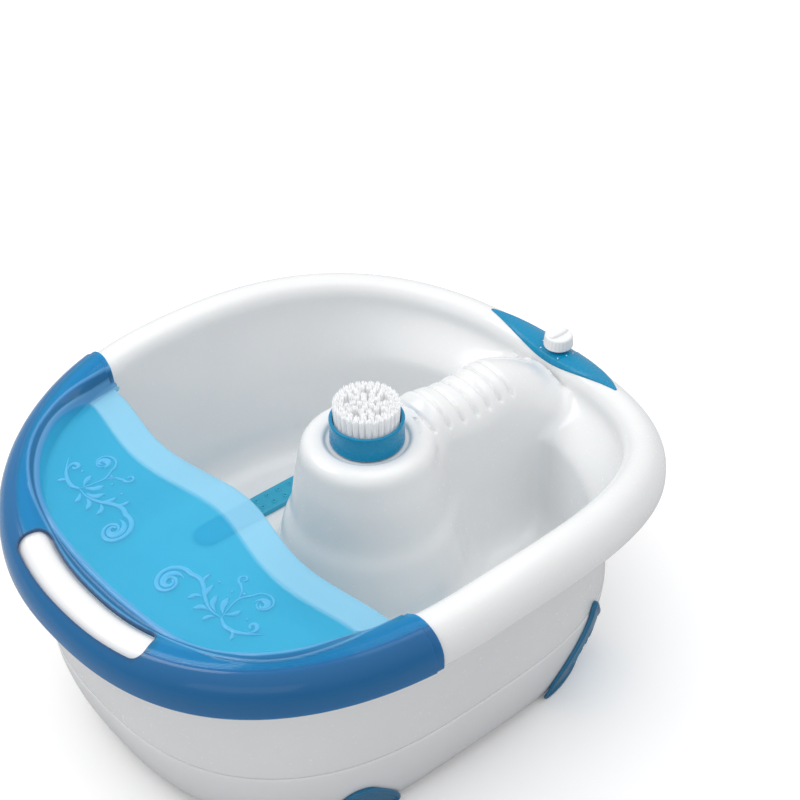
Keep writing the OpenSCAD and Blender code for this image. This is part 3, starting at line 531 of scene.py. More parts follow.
def void(v):
    """Above zero in the basin's space and below zero in the plastic."""
    x, y, z = v[..., 0], v[..., 1], v[..., 2]
    p = bearing(v[..., :2])
    r = np.hypot(x, y + 20)
    f = smin(basin_r(p, z) - r, z - 45.0, 22.0)
    rho = np.hypot(x, y - HUMP_Y)
    hump = -smin(-(rho - np.interp(z, _zz, H_TAB)), -(z - HUMP_Z), 11.0)
    f = smin(f, hump, 15.0)
    zt = ridge_top(y)
    w = 24.5 + 12 * sat((y - 125) / 60) ** 2
    q = np.maximum(z - (zt - w), 0)
    u = sat((zt - z) / np.maximum(zt - 45, 1))
    ax = np.abs(x)
    ridge = np.hypot(ax, q) - w - 9 * u - 9 * u ** 4
    ridge = -smin(-ridge, -(34.0 - y), 14.0)
    f = smin(f, ridge, 13.0)
    # ribs across the ridge: a rounded band between narrow grooves, each groove ending in a small dimple on the flank
    side = smooth(24.0, 20.0, ax) * (z > zt - 34)
    g = np.zeros_like(x)
    for yi in RIB_Y:
        bow = yi + 1.6 * (ax / 20.0) ** 2
        g += np.exp(-((y - bow) / 1.35) ** 2)
        g += 0.75 * np.exp(-((ax - 20.6) ** 2 + (y - yi - 1.7) ** 2) / 2.3 ** 2) * (z > zt - 26)
    crown = smooth(64, 72, y) * smooth(142, 132, y) * smooth(21, 12, ax)
    f = f + 1.9 * g * side - 0.45 * crown * (1 - sat(g))
    return f


def gradient(fn, v, e=0.08):
    g = np.empty_like(v)
    for a in range(3):
        d = np.zeros(3)
        d[a] = e
        g[:, a] = (fn(v + d) - fn(v - d)) / (2 * e)
    return g


def project(fn, v, steps=4, cap=2.0, horizontal=False):
    for _ in range(steps):
        g = gradient(fn, v)
        if horizontal:
            g[:, 2] = 0
        s = fn(v)[:, None] * g / np.maximum((g * g).sum(1, keepdims=True), 1e-4)
        n = np.linalg.norm(s, axis=1, keepdims=True)
        v = v - s * np.minimum(1.0, cap / np.maximum(n, 1e-9))
    return v


def surface_nets(fn, xs, ys, zs):
    X, Y, Z = np.meshgrid(xs, ys, zs, indexing="ij")
    F = fn(np.stack([X, Y, Z], -1))
    cs = [xs, ys, zs]
    shape = (len(xs) - 1, len(ys) - 1, len(zs) - 1)
    total = shape[0] * shape[1] * shape[2]
    acc, cnt = np.zeros((3, total)), np.zeros(total)
    quads = []
    for ax in range(3):
        lo = [slice(None)] * 3
        hi = [slice(None)] * 3
        lo[ax], hi[ax] = slice(0, -1), slice(1, None)
        A, B = F[tuple(lo)], F[tuple(hi)]
        idx = np.argwhere((A > 0) != (B > 0))
        a, b = A[tuple(idx.T)], B[tuple(idx.T)]
        t = a / (a - b)
        pos = np.stack([cs[k][idx[:, k]] for k in range(3)], 1)
        pos[:, ax] += t * (cs[ax][idx[:, ax] + 1] - cs[ax][idx[:, ax]])
        u, w = [k for k in range(3) if k != ax]
        ids, ok = [], np.ones(len(idx), bool)
        for du, dw in ((0, 0), (1, 0), (1, 1), (0, 1)):
            c = idx.copy()
            c[:, u] -= du
            c[:, w] -= dw
            good = np.all((c >= 0) & (c < np.array(shape)), axis=1)
            flat = (c[:, 0] * shape[1] + c[:, 1]) * shape[2] + c[:, 2]
            for k in range(3):
                acc[k] += np.bincount(flat[good], weights=pos[good, k], minlength=total)
            cnt += np.bincount(flat[good], minlength=total)
            ids.append(np.where(good, flat, 0))
            ok &= good
        q = np.stack(ids, 1)[ok]
        flip = (a > 0)[ok]
        if ax == 1:
            flip = ~flip
        q[flip] = q[flip][:, ::-1]
        quads.append(q)
    quads = np.concatenate(quads)
    used = np.unique(quads)
    remap = np.full(total, -1)
    remap[used] = np.arange(len(used))
    V = (acc[:, used] / np.maximum(cnt[used], 1)).T
    return V, remap[quads]


def edges_of(faces):
    e = np.concatenate([faces[:, [0, 1]], faces[:, [1, 2]], faces[:, [2, 3]], faces[:, [3, 0]]])
    return e


def compact(V, faces):
    used = np.unique(faces)
    remap = np.full(len(V), -1)
    remap[used] = np.arange(len(used))
    return V[used], remap[faces]


def boundary_loops(faces):
    e = edges_of(faces)
    key = np.sort(e, 1)
    _, inv, count = np.unique(key, axis=0, return_inverse=True, return_counts=True)
    b = e[count[inv.ravel()] == 1]
    nxt = {}
    for i, j in b:
        nxt.setdefault(int(i), []).append(int(j))
    loops = []
    while nxt:
        start = next(iter(nxt))
        loop, cur = [start], start
        while True:
            outs = nxt.get(cur)
            if not outs:
                break
            n = outs.pop()
            if not outs:
                del nxt[cur]
            if n == start:
                break
            loop.append(n)
            cur = n
        loops.append(loop)
    return sorted(loops, key=len, reverse=True)


def peel(faces):
    """Drops faces that hang on by a corner, until every boundary vertex has one way in and one way out."""
    while True:
        e = edges_of(faces)
        key = np.sort(e, 1)
        _, inv, count = np.unique(key, axis=0, return_inverse=True, return_counts=True)
        inv = inv.ravel()
        single = count[inv] == 1
        deg = np.bincount(e[single][:, 0], minlength=faces.max() + 1)
        bad_v = deg > 1
        face_single = single.reshape(4, -1).sum(0)
        drop = (face_single >= 3) | bad_v[faces].any(1)
        if not drop.any():
            return faces
        faces = faces[~drop]


def steps(*pieces):
    out = []
    for a, b, h in pieces:
        out.append(np.linspace(a, b, max(2, int(round((b - a) / h)) + 1))[:-1])
    return np.concatenate(out + [[pieces[-1][1]]])


H = 3.0
XS = steps((-171, -28, H), (-28, 28, 1.9), (28, 171, H))
YS = steps((-200, 58, H), (58, 143, 1.35), (143, 201, H))
ZS = steps((40.3, 128, H), (128, 182, 2.1))
net_v, net_f = surface_nets(void, XS, YS, ZS)
net_v = project(void, net_v, 3)


def rim_level(v):
    return v[..., 2] - (periodic(bearing(v[..., :2]), Z_EDGE) - 2.2)


rho = np.hypot(net_v[:, 0], net_v[:, 1] - HUMP_Y)
at_wall = np.hypot(net_v[:, 0], net_v[:, 1] + 20) > periodic(bearing(net_v[:, :2]), R_EDGE) - 2.5
keep_v = ~((rim_level(net_v) > 0.4) & at_wall) & ~((rho < 34.6) & (net_v[:, 2] > 150))
net_f = net_f[keep_v[net_f].all(1)]
# the largest connected sheet
lab = np.arange(len(net_v))
for _ in range(400):
    m = lab[net_f].min(1)
    new = lab.copy()
    for k in range(4):
        np.minimum.at(new, net_f[:, k], m)
    new = new[new]
    if (new == lab).all():
        break
    lab = new
vals, cnts = np.unique(lab[net_f[:, 0]], return_counts=True)
net_f = net_f[lab[net_f[:, 0]] == vals[cnts.argmax()]]
net_f = peel(net_f)
net_v, net_f = compact(net_v, net_f)
loops = boundary_loops(net_f)
outer_loop = loops[0]
inner_loop = next(l for l in loops[1:] if len(l) > 30)


def relax_loop(loop, centre):
    a = np.unwrap(np.arctan2(net_v[loop, 0] - centre[0], net_v[loop, 1] - centre[1]))
    turn = round((a[-1] - a[0]) / (2 * math.pi)) or (1 if a[-1] > a[0] else -1)
    n = len(a)
    for _ in range(60):
        prev = np.roll(a, 1)
        prev[0] -= turn * 2 * math.pi
        nxt = np.roll(a, -1)
        nxt[-1] += turn * 2 * math.pi
        a = 0.5 * a + 0.25 * (prev + nxt)
    return a, turn


ang_o, turn_o = relax_loop(outer_loop, (0.0, -20.0))
b_o = np.degrees(ang_o) % 360
z_o = periodic(b_o, Z_EDGE) - 2.2
r_o = basin_r(b_o, z_o)
net_v[outer_loop] = np.stack([r_o * np.sin(ang_o), -20 + r_o * np.cos(ang_o), z_o], 1)
ang_i, turn_i = relax_loop(inner_loop, (0.0, HUMP_Y))
net_v[inner_loop] = np.stack([35 * np.sin(ang_i), HUMP_Y + 35 * np.cos(ang_i), np.full(len(ang_i), HUMP_Z)], 1)
# even out the sheet, holding it on the surface
fixed = np.zeros(len(net_v), bool)
fixed[outer_loop] = True
fixed[inner_loop] = True
E = np.unique(np.sort(edges_of(net_f), 1), axis=0)
deg = np.bincount(E.ravel(), minlength=len(net_v)).astype(float)
for it in range(14):
    s = np.stack([np.bincount(E[:, 0], weights=net_v[E[:, 1], k], minlength=len(net_v)) + np.bincount(E[:, 1], weights=net_v[E[:, 0], k], minlength=len(net_v)) for k in range(3)], 1) / deg[:, None]
    nv = net_v + 0.45 * (s - net_v)
    nv = project(void, nv, 1, 1.5)
    net_v = np.where(fixed[:, None], net_v, nv)
nv = project(void, net_v, 3, 1.0)
net_v = np.where(fixed[:, None], net_v, nv)
g = gradient(void, net_v)
net_n = g / np.maximum(np.linalg.norm(g, axis=1, keepdims=True), 1e-6)
net_n[inner_loop] = (0, 0, 1)

# outside of the rim and skirt, on the same stations as the net's outer edge
st = np.interp(b_o, EDGE_B, EDGE_P) if turn_o > 0 else np.interp(b_o, EDGE_B, EDGE_P)


def rim_sheet(t):
    """Rows from the net's edge outwards over the roll and down to the parting line, drawn in by t."""
    rows = []
    for a in (np.array([90, 78, 66, 54, 42, 31, 20, 10, 0]) if t == 0 else np.array([90, 60, 30, 0])):
        rows.append(rim_pt(st, np.full(len(st), -(R_IN - t) * math.sin(math.radians(a))), (R_IN_DROP - t) * math.cos(math.radians(a)) - R_IN_DROP))
    for a in ((8, 16, 24, 32, 40, 48, 56, 64, 72, 79, 85, 90) if t == 0 else (22, 44, 66, 84)):
        rows.append(rim_pt(st, np.full(len(st), (R_OUT - t) * math.sin(math.radians(a))), (R_DROP - t) * math.cos(math.radians(a)) - R_DROP))
    if t == 0:
        for d, dz in ((18.0, -24.0), (18.0, -25.1), (17.85, -25.9), (17.4, -26.7), (16.8, -27.2), (16.0, -27.45), (14.5, -27.5)):
            rows.append(rim_pt(st, np.full(len(st), d), dz))
    b = body_xy(st, 112) + side_of(body_xy(st - 0.6, 112), body_xy(st + 0.6, 112)) * -t
    for d, dz, w in ((12.0, -27.6, 0.85), (9.0, -28.5, 0.70), (6.5, -30.2, 0.50), (4.0, -33.5, 0.26), (2.5, -38.0, 0.12), (1.5, -44.0, 0.05)) if t == 0 else ((9.0, -28.5, 0.75), (4.0, -34.0, 0.25)):
        c = rim_pt(st, np.full(len(st), d), dz)
        rows.append(np.concatenate([b + (c[:, :2] - b) * w, c[:, 2:3] + t], 1))
    for z in ((96, 84, 72, 64.6, 63.2, 62.5, 62.15) if t == 0 else (94, 78, 62.15)):
        inset = {62.5: -0.35, 62.15: -0.9, 63.2: -0.08}.get(z, 0.0) if t == 0 else 0.0
        rows.append(body_pt(st, z, -t + inset))
    return rows


front = rim_sheet(0)
back = rim_sheet(SKIN)
n_st = len(st)
V = [net_v, net_v - net_n * WALL]
nn = len(net_v)
F = [tuple(f) for f in net_f] + [tuple(f[::-1] + nn) for f in net_f]
base = 2 * nn


def stitch(first_ids, rows, flip):
    """Joins a loop of existing vertices to new rows and returns the last row's ids."""
    global base
    prev = np.asarray(first_ids)
    for r in rows:
        V.append(r)
        cur = np.arange(base, base + n_st)
        base += n_st
        a, b, c, d = prev, np.roll(prev, -1), np.roll(cur, -1), cur
        q = np.stack([a, b, c, d], 1)
        F.extend(map(tuple, q[:, ::-1] if flip else q))
        prev = cur
    return prev


last_f = stitch(outer_loop, front, True)
last_b = stitch(np.asarray(outer_loop) + nn, back, False)
q = np.stack([last_f, np.roll(last_f, -1), np.roll(last_b, -1), last_b], 1)
F.extend(map(tuple, q[:, ::-1]))
# the dish under the brush, and the socket's hole
dish = [(33.0, 163.0), (31.2, 162.95), (29.9, 162.6), (28.9, 161.9), (28.35, 161.2), (27.9, 160.55), (27.2, 160.15), (26.2, 160.0), (22.0, 160.0), (16.0, 160.0), (12.2, 160.0), (11.5, 159.8), (11.2, 159.3), (11.2, 157.2), (11.2, 156.45), (13.0, 156.42), (22.0, 156.42), (30.0, 156.42), (33.5, 157.5)]
n_in = len(ang_i)
prev = np.asarray(inner_loop)
for r, z in dish:
    V.append(np.stack([r * np.sin(ang_i), HUMP_Y + r * np.cos(ang_i), np.full(n_in, z)], 1))
    cur = np.arange(base, base + n_in)
    base += n_in
    F.extend(map(tuple, np.stack([prev, np.roll(prev, -1), np.roll(cur, -1), cur], 1)))
    prev = cur
last = np.asarray(inner_loop) + nn
F.extend(map(tuple, np.stack([prev, np.roll(prev, -1), np.roll(last, -1), last], 1)))
tub = make("tub_moulding", np.concatenate(V), F, WHITE, "basin", smooth_angle=50)
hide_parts("tub")
print("tub", len(tub.data.polygons), "faces; loops", [len(l) for l in loops], "stations", n_st)


# ------------------------------------------------------------------ boolean helpers
def temp(name, verts, faces):
    me = bpy.data.meshes.new(name)
    me.from_pydata([tuple(v) for v in (np.asarray(verts, float) * MM)], [], [tuple(int(i) for i in f) for f in faces])
    ob = bpy.data.objects.new(name, me)
    bpy.context.scene.collection.objects.link(ob)
    bm = bmesh.new()
    bm.from_mesh(me)
    bmesh.ops.remove_doubles(bm, verts=bm.verts, dist=1e-7)
    bmesh.ops.recalc_face_normals(bm, faces=bm.faces)
    bm.to_mesh(me)
    bm.free()
    return ob


def joined(solids):
    V, F, o = [], [], 0
    for v, f in solids:
        V.append(np.asarray(v, float))
        F += [tuple(i + o for i in q) for q in f]
        o += len(v)
    return np.concatenate(V), F


def disc(x, y, z0, z1, r, seg=40):
    a = np.arange(seg) * 2 * math.pi / seg
    c = np.stack([x + r * np.cos(a), y + r * np.sin(a)], 1)
    v = np.concatenate([np.column_stack([c, np.full(seg, z0)]), np.column_stack([c, np.full(seg, z1)])])
    f = [tuple(range(seg))[::-1], tuple(range(seg, 2 * seg))] + [(i, (i + 1) % seg, seg + (i + 1) % seg, seg + i) for i in range(seg)]
    return v, f


def block(x0, x1, y0, y1, z0, z1, r=0.0, n=5):
    if r <= 0:
        pts = np.array([(x0, y0), (x1, y0), (x1, y1), (x0, y1)], float)
    else:
        pts = round_poly([(x0, y0), (x1, y0), (x1, y1), (x0, y1)], r, n, closed=True)
    k = len(pts)
    v = np.concatenate([np.column_stack([pts, np.full(k, z0)]), np.column_stack([pts, np.full(k, z1)])])
    f = [tuple(range(k))[::-1], tuple(range(k, 2 * k))] + [(i, (i + 1) % k, k + (i + 1) % k, k + i) for i in range(k)]
    return v, f


def apply_boolean(ob, cutter, op):
    m = ob.modifiers.new("b", "BOOLEAN")
    m.operation = op
    m.solver = "EXACT"
    m.object = cutter
    dg = bpy.context.evaluated_depsgraph_get()
    me = bpy.data.meshes.new_from_object(ob.evaluated_get(dg), depsgraph=dg)
    old = ob.data
    ob.modifiers.remove(m)
    ob.data = me
    bpy.data.meshes.remove(old)
    bpy.data.objects.remove(cutter)


def finish_mesh(ob, angle, merge=2e-6):
    bm = bmesh.new()
    bm.from_mesh(ob.data)
    bmesh.ops.remove_doubles(bm, verts=bm.verts, dist=merge)
    bmesh.ops.dissolve_degenerate(bm, edges=bm.edges, dist=1e-7)
    lim = math.radians(angle)
    for f in bm.faces:
        f.smooth = True
    for e in bm.edges:
        e.smooth = not (len(e.link_faces) == 2 and e.calc_face_angle(0.0) > lim)
    bm.to_mesh(ob.data)
    bm.free()


# ------------------------------------------------------------------ base tray
PT = np.arange(0, 360, 1.5)


def foot_bearing(p):
    q = np.abs(((p + 180) % 360) - 180)
    return np.where(q < 49, q * 45 / 49, np.where(q < 118.5, 45 + (q - 49) * 90 / 69.5, 135 + (q - 118.5) * 45 / 61.5))


def arch(p):
    return 3 + 7 * sat(np.abs(np.cos(np.radians(2 * foot_bearing(p))))) ** 0.8


A = arch(PT)


def ring_z(zref, d, z):
    b = body_pt(PT, zref, d)
    b[:, 2] = z
    return b


rows = [ring_z(6, -42, 10.0), ring_z(6, -22, 10 * 0.6 + A * 0.4), ring_z(6, -9, A), ring_z(6, -4, A), ring_z(6, -2.2, A + 0.15), ring_z(6.5, -0.9, A + 0.65), ring_z(7.5, -0.2, A + 1.5), ring_z(9, 0, A + 3.0)]
for z in (16, 19, 23, 28, 34, 40, 46, 52, 57, 59.6):
    rows.append(body_pt(PT, z))
rows += [body_pt(PT, 60.6, -0.06), body_pt(PT, 61.3, -0.35), body_pt(PT, 61.65, -0.85), body_pt(PT, 61.65, -2.5)]
for z in (58, 50, 40, 28, 20):
    rows.append(body_pt(PT, z, -2.5))
rows += [ring_z(16, -3.6, 15.0), ring_z(14, -6, 13.3), ring_z(13, -9, 13.0), ring_z(8, -42, 13.0)]
R = np.array(rows)
V = np.concatenate([R.reshape(-1, 3), [(0, -20, 10.0), (0, -20, 13.0)]])
n = len(PT)
F = [tuple(f) for f in ring_faces(len(rows), n)]
F += [(len(V) - 2, (j + 1) % n, j) for j in range(n)]
F += [(len(V) - 1, (len(rows) - 1) * n + j, (len(rows) - 1) * n + (j + 1) % n) for j in range(n)]
tray = temp("base_tray_shell", V, F)
BOSS = [(112, 45), (-112, 45), (95, -108), (-95, -108), (84, 122), (-84, 122)]
adds = [disc(x, y, 12, 23.8, 5.0) for x, y in BOSS]
adds += [block(-38, 52, -7, 27, 12, 21.5, 3)]
adds += [disc(x, y, 12, 18, 3.0, 28) for x in (62, 110) for y in (76, 108)]
apply_boolean(tray, temp("c1", *joined(adds)), "UNION")
cuts = [block(-36, 50, -5, 25, -1, 19, 4)]
cuts += [disc(x, y, -1, 14, 4.2) for x, y in BOSS] + [disc(-60, 105, -1, 19, 6.1)]
apply_boolean(tray, temp("c2", *joined(cuts)), "DIFFERENCE")
apply_boolean(tray, temp("c3", *joined([disc(x, y, 10, 29, 2.3, 28) for x, y in BOSS])), "DIFFERENCE")
hooks = []
for s in (-1, 1):
    hooks.append(block(s * 57 - 3, s * 57 + 3, 6, 14, 1, 11, 1.2))
apply_boolean(tray, temp("c4", *joined(hooks)), "UNION")
hooks = [block(54, 84, 6, 14, 1, 2.3, 2.0), block(-84, -54, 6, 14, 1, 2.3, 2.0)]
apply_boolean(tray, temp("c5", *joined(hooks)), "UNION")
tray.data.materials.clear()
tray.data.materials.append(WHITE_TRAY)
finish_mesh(tray, 32)
tray.name = "base_tray_moulding"
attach(tray, "basin")
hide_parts("base_tray")


# ------------------------------------------------------------------ splash guard
def panel_z(x, y):
    return crest_z(y) - 4.5 - 10.5 * sat((y + 150) / 75) ** 1.6


def rear_y(x):
    u = np.abs(x) / 150
    return -65 - 6 - 10 * np.sin(np.radians(180 * sat(u * 1.02))) ** 2 - 2 * u


def p_where(d, y_end):
    """Bearing on the +X side where the rim at offset d crosses y_end."""
    pp = np.linspace(92, 116, 1200)
    yy = rim_pt(pp, np.full(1200, d), 0.0)[:, 1]
    return float(np.interp(-y_end, -yy, pp))


def smax(a, b, r=2.0):
    return 0.5 * (a + b + np.sqrt((a - b) ** 2 + r * r))


def shell_top(d, k):
    """Height, from the rim's top line, of the rolled inner shoulder raised by k."""
    e, h = 11.0 + k, 11.8 + k
    q = sat(np.abs(d) / e)
    return -11.8 + h * np.sqrt(1 - q * q) - 4.0 * np.maximum(-e - d, 0)


GAP, GT = 0.4, 2.2
GN = 241
tt = np.linspace(0, 1, GN)
ends = np.array([0, 0.0012, 0.0024, 0.0095, 0.0107, 0.0119])
tt = np.unique(np.concatenate([ends, tt[(tt > 0.014) & (tt < 0.986)], 1 - ends]))
GN = len(tt)
end_mm = np.minimum(tt, 1 - tt) * 470.0
k_out = GAP + 1.35 + np.where(end_mm < 0.3, -0.35, 0) + 0.85 * smooth(4.3, 5.2, end_mm)
Q2 = np.array([0, 8, 14, 20, 28, 34, 43, 50, 54, 58, 62, 66, 72, 80.0])
D2 = np.array([-17, -16.6, -15.7, -13.5, -9.6, -6.6, -4.4, -4.6, -5.8, -8.5, -11.4, -13.6, -14.8, -15.2])
Q1 = np.array([0, 12, 20, 24, 29, 34, 38, 42, 47, 50, 54, 60, 65, 70, 74, 80.0])
D1 = np.array([-10.4, -10.2, -9.6, -8.0, -4.9, -2.3, -0.2, 1.3, 2.6, 2.2, 0.8, -1.8, -5.4, -8.4, -9.8, -10.4])
pc_ = np.linspace(100.5, 259.5, 900)
qc_ = np.abs(pc_ - 180)


def eased(x, X, Y):
    """Table look-up smoothed by averaging over a short span."""
    w = np.linspace(-3.5, 3.5, 15)
    return np.mean([np.interp(np.abs(x + s), X, Y) for s in w], axis=0)


bead1 = rim_pt(pc_, eased(qc_, Q1, D1), 0.0)[:, :2]
bead2 = rim_pt(pc_, eased(qc_, Q2, D2), 0.0)[:, :2]
crest_xy = crest(pc_)


def nearest(pts, line):
    d = np.empty(len(pts))
    k = np.empty(len(pts), int)
    for i in range(0, len(pts), 3000):
        q = ((pts[i:i + 3000, None] - line[None]) ** 2).sum(-1)
        k[i:i + 3000] = q.argmin(1)
        d[i:i + 3000] = np.sqrt(q.min(1))
    return d, k


b2d = eased(qc_, Q2, D2)
b2y = bead2[:, 1]
b2_base = smax(shell_top(b2d, 2.6) + crest_z(crest_xy[:, 1]), panel_z(bead2[:, 0], b2y))
b2_amp = np.clip(crest_z(crest_xy[:, 1]) + np.interp(qc_, [0, 20, 30, 43, 50, 58, 66, 72, 80], [-1.0, -0.6, 1.8, 3.1, 2.9, 0.9, -8.6, -11.5, -13.0]) - b2_base, 1.25, 4.2)
rear_line = np.stack([np.linspace(-152, 152, 600), rear_y(np.linspace(-152, 152, 600))], 1)


def beads(xy):
    e1, _ = nearest(xy, bead1)
    e2, k2 = nearest(xy, bead2)
    dr, _ = nearest(xy, rear_line)
    h = 0.85 * np.exp(-(e1 / 1.15) ** 2) + b2_amp[k2] * np.exp(-(e2 / 1.95) ** 2)
    return h, e1, e2, dr


def lip_relief(dr, inside):
    h = 1.0 * smooth(23.5, 20.5, dr) + 0.4 * np.exp(-((dr - 21.5) / 1.1) ** 2)
    return (h - 0.9 * smooth(1.6, 0.0, dr) ** 2) * inside


def low_edge(p):
    return -26 + 4.5 * np.exp(-((p - 180) / 24.0) ** 2)


def station(d):
    y_end = -65.3 + 2.3 * (d - 18) / 30.0 - 2.0
    p0 = p_where(d, y_end)
    return p0 + (360 - 2 * p0) * tt


top_cols, bot_cols = [], []
p = station(18.0)
zl = low_edge(p)
for i, (f, kt, kb) in enumerate(((0.0, -0.7, 0.35), (0.06, -0.12, 0.0), (0.3, 0, 0), (0.65, 0, 0))):
    zz = zl + (-19.2 - zl) * f
    top_cols.append(rim_pt(p, 18.0 + k_out + kt, zz - (0.25 if i == 0 else 0)))
    bot_cols.append(rim_pt(p, np.full(GN, 18.0 + GAP + kb), zz - (0.1 if i == 0 else 0)))
outer = (18.0, 17.7, 17.2, 16.3, 15, 13.4, 11.6, 9.8, 8.4, 7.6, 7.2, 6.8, 6.4, 5.6, 4.6, 3.6, 2.8, 2.0, 1.3, 0.6)
for d in outer:
    p = station(d)
    t3 = roll_pt(p, np.full(GN, d), k_out)
    t3[:, 2] += beads(t3[:, :2])[0] * smooth(8, 5, d) - 0.28 * math.exp(-((d - 7.1) / 0.45) ** 2)
    top_cols.append(t3)
    bot_cols.append(roll_pt(p, np.full(GN, d), np.full(GN, GAP)))


def field(p, d):
    c = crest(p)
    xy = c + crest_n(p) * np.asarray(d)[..., None]
    cz = crest_z(c[:, 1])
    h, e1, e2, dr = beads(xy)
    k = k_out
    zt = smax(cz + shell_top(d, k), panel_z(xy[:, 0], xy[:, 1]), 1.6)
    zt = zt + h
    zb = smax(cz + shell_top(d, np.full(GN, GAP)), panel_z(xy[:, 0], xy[:, 1]) - GT, 1.0)
    return np.column_stack([xy, zt]), np.column_stack([xy, np.minimum(zb, zt - 1.2)])


inner_d = np.concatenate([np.arange(0.0, -10.9, -0.6), np.arange(-11.0, -18.01, -0.4)])
for d in inner_d:
    t3, b3 = field(station(d), np.full(GN, d))
    top_cols.append(t3)
    bot_cols.append(b3)
A_top = top_cols[-1]
arc = A_top[:, :2]
NJ = 62
y_b = np.maximum(rear_y(arc[:, 0]), arc[:, 1] + 0.8)
LIP_W = 21.8


def lip_depth(x):
    g = (rear_y(x + 0.5) - rear_y(x - 0.5))
    return LIP_W * np.sqrt(1 + g * g)


span = y_b - arc[:, 1]
lip_from = np.clip(1 - lip_depth(arc[:, 0]) / span, 0, 1)
for j in range(1, NJ):
    t = lip_from * j / 40 if j <= 40 else lip_from + (1 - lip_from) * (j - 40) / (NJ - 1 - 40)
    x = arc[:, 0]
    y = arc[:, 1] + span * t
    xy = np.column_stack([x, y])
    h, e1, e2, dr = beads(xy)
    lip = lip_relief(dr, 1.0)
    z = panel_z(x, y) + h + lip
    zb = panel_z(x, y) - GT + 0.8 * lip
    top_cols.append(np.column_stack([xy, z]))
    bot_cols.append(np.column_stack([xy, zb]))
top = np.stack(top_cols, 1)
bot = np.stack(bot_cols, 1)


def panel_surface(x, y, da=None, dr=None):
    xy = np.column_stack([np.ravel(x), np.ravel(y)])
    h, e1, e2, dr_ = beads(xy)
    return (panel_z(xy[:, 0], xy[:, 1]) + h + lip_relief(dr_, 1.0)).reshape(np.shape(x))


V, F = slab_mesh(top, bot)
guard = temp("guard_sheet", V, F)
guard.data.materials.clear()
guard.data.materials.append(GUARD)
# hand slot with rounded ends
sp = np.linspace(158.4, 201.6, 87)
oo = np.array([rim_pt(np.array([q]), np.array([13.2]), 0.0)[0, :2] for q in sp])
ii = np.array([rim_pt(np.array([q]), np.array([-8.6]), 0.0)[0, :2] for q in sp])


def round_closed(pts, r, corner_idx):
    out = []
    k = len(pts)
    keep = np.ones(k, bool)
    cum = {}
    for c in corner_idx:
        for s in (-1, 1):
            i, L = c, 0.0
            while L < r:
                j = (i + s) % k
                L += np.linalg.norm(pts[j] - pts[i])
                i = j
                if L < r:
                    keep[i] = False
            cum[(c, s)] = i
        keep[c] = False
    for i in range(k):
        if keep[i]:
            out.append(pts[i])
        if i in corner_idx:
            a, b, d = pts[cum[(i, -1)]], pts[i], pts[cum[(i, 1)]]
            for t in np.linspace(0.08, 0.92, 9):
                out.append((1 - t) ** 2 * a + 2 * t * (1 - t) * b + t * t * d)
    return np.array(out)


extra = []
for a, b in ((oo[-1], ii[-1]), (ii[0], oo[0])):
    extra.append([a + (b - a) * t for t in np.linspace(0, 1, 14)[1:-1]])
outline = np.concatenate([oo, extra[0], ii[::-1], extra[1]])
corner_idx = [0, len(oo) - 1, len(oo) + 12, len(oo) + 12 + len(ii) - 1]
slot2d = round_closed(outline, 7.5, corner_idx)
k = len(slot2d)
sv = np.concatenate([np.column_stack([slot2d, np.full(k, 120.0)]), np.column_stack([slot2d, np.full(k, 190.0)])])
sf = [tuple(range(k))[::-1], tuple(range(k, 2 * k))] + [(i, (i + 1) % k, k + (i + 1) % k, k + i) for i in range(k)]
apply_boolean(guard, temp("slot_cut", sv, sf), "DIFFERENCE")
finish_mesh(guard, 38)
# zones of the sheet, blended over a millimetre or two: outer skirt, ledge, the two beads, the inner wall, the panel and
# its frosted lip; the beads' lighter colour is a painted highlight
me = guard.data
co_ = np.empty(len(me.vertices) * 3)
me.vertices.foreach_get("co", co_)
vx = co_.reshape(-1, 3) / MM
cd, ck = nearest(vx[:, :2], crest_xy)
sgn = np.where(np.hypot(vx[:, 0], vx[:, 1] + 25) < np.hypot(crest_xy[ck, 0], crest_xy[ck, 1] + 25), -1, 1)
d_of = cd * sgn
q_of = np.abs(pc_[ck] - 180)
h_, e1, e2, dr = beads(vx[:, :2])
d1, d2 = eased(q_of, Q1, D1), eased(q_of, Q2, D2)
slot_d, _ = nearest(vx[:, :2], slot2d)
ZONES = {  # tint of the light let through, colour of the pigment, density, extra roughness
    "skirt": ((0.05, 0.42, 0.74), (0.006, 0.165, 0.41), 0.62, 0.0),
    "ledge": ((0.16, 0.70, 0.92), (0.004, 0.31, 0.60), 0.36, 0.0),
    "wall": ((0.04, 0.46, 0.70), (0.002, 0.17, 0.38), 0.50, 0.0),
    "panel": ((0.38, 0.85, 0.96), (0.030, 0.49, 0.77), 0.36, 0.03),
    "lip": ((0.60, 0.88, 0.98), (0.34, 0.70, 0.90), 0.44, 0.22),
    # bead: this lighter, whiter tint and colour is a painted highlight standing in for the glossy reflections along the
    # beads, not their pigment
    "bead": ((0.40, 0.74, 0.94), (0.13, 0.42, 0.74), 0.50, -0.02),
    "edge": ((0.02, 0.22, 0.42), (0.002, 0.07, 0.20), 0.90, 0.05),
}
order = ("skirt", "ledge", "wall", "panel", "lip", "bead", "edge")
W = {"skirt": np.ones(len(vx))}
W["ledge"] = smooth(7.6, 6.4, d_of)
W["wall"] = smooth(0.5, -0.7, d_of - d1)
W["panel"] = smooth(0.8, -0.8, d_of - d2)
W["lip"] = W["panel"] * smooth(23.2, 20.6, dr)
# mask for the painted highlight along the two beads
W["bead"] = np.maximum(smooth(2.2, 1.1, e2), 0.9 * smooth(1.4, 0.5, e1) * (d_of < 6.4))
W["edge"] = smooth(1.6, 0.5, slot_d)
acc = {k: np.zeros((len(vx), 3)) for k in ("t", "b")}
den, rou = np.zeros(len(vx)), np.zeros(len(vx))
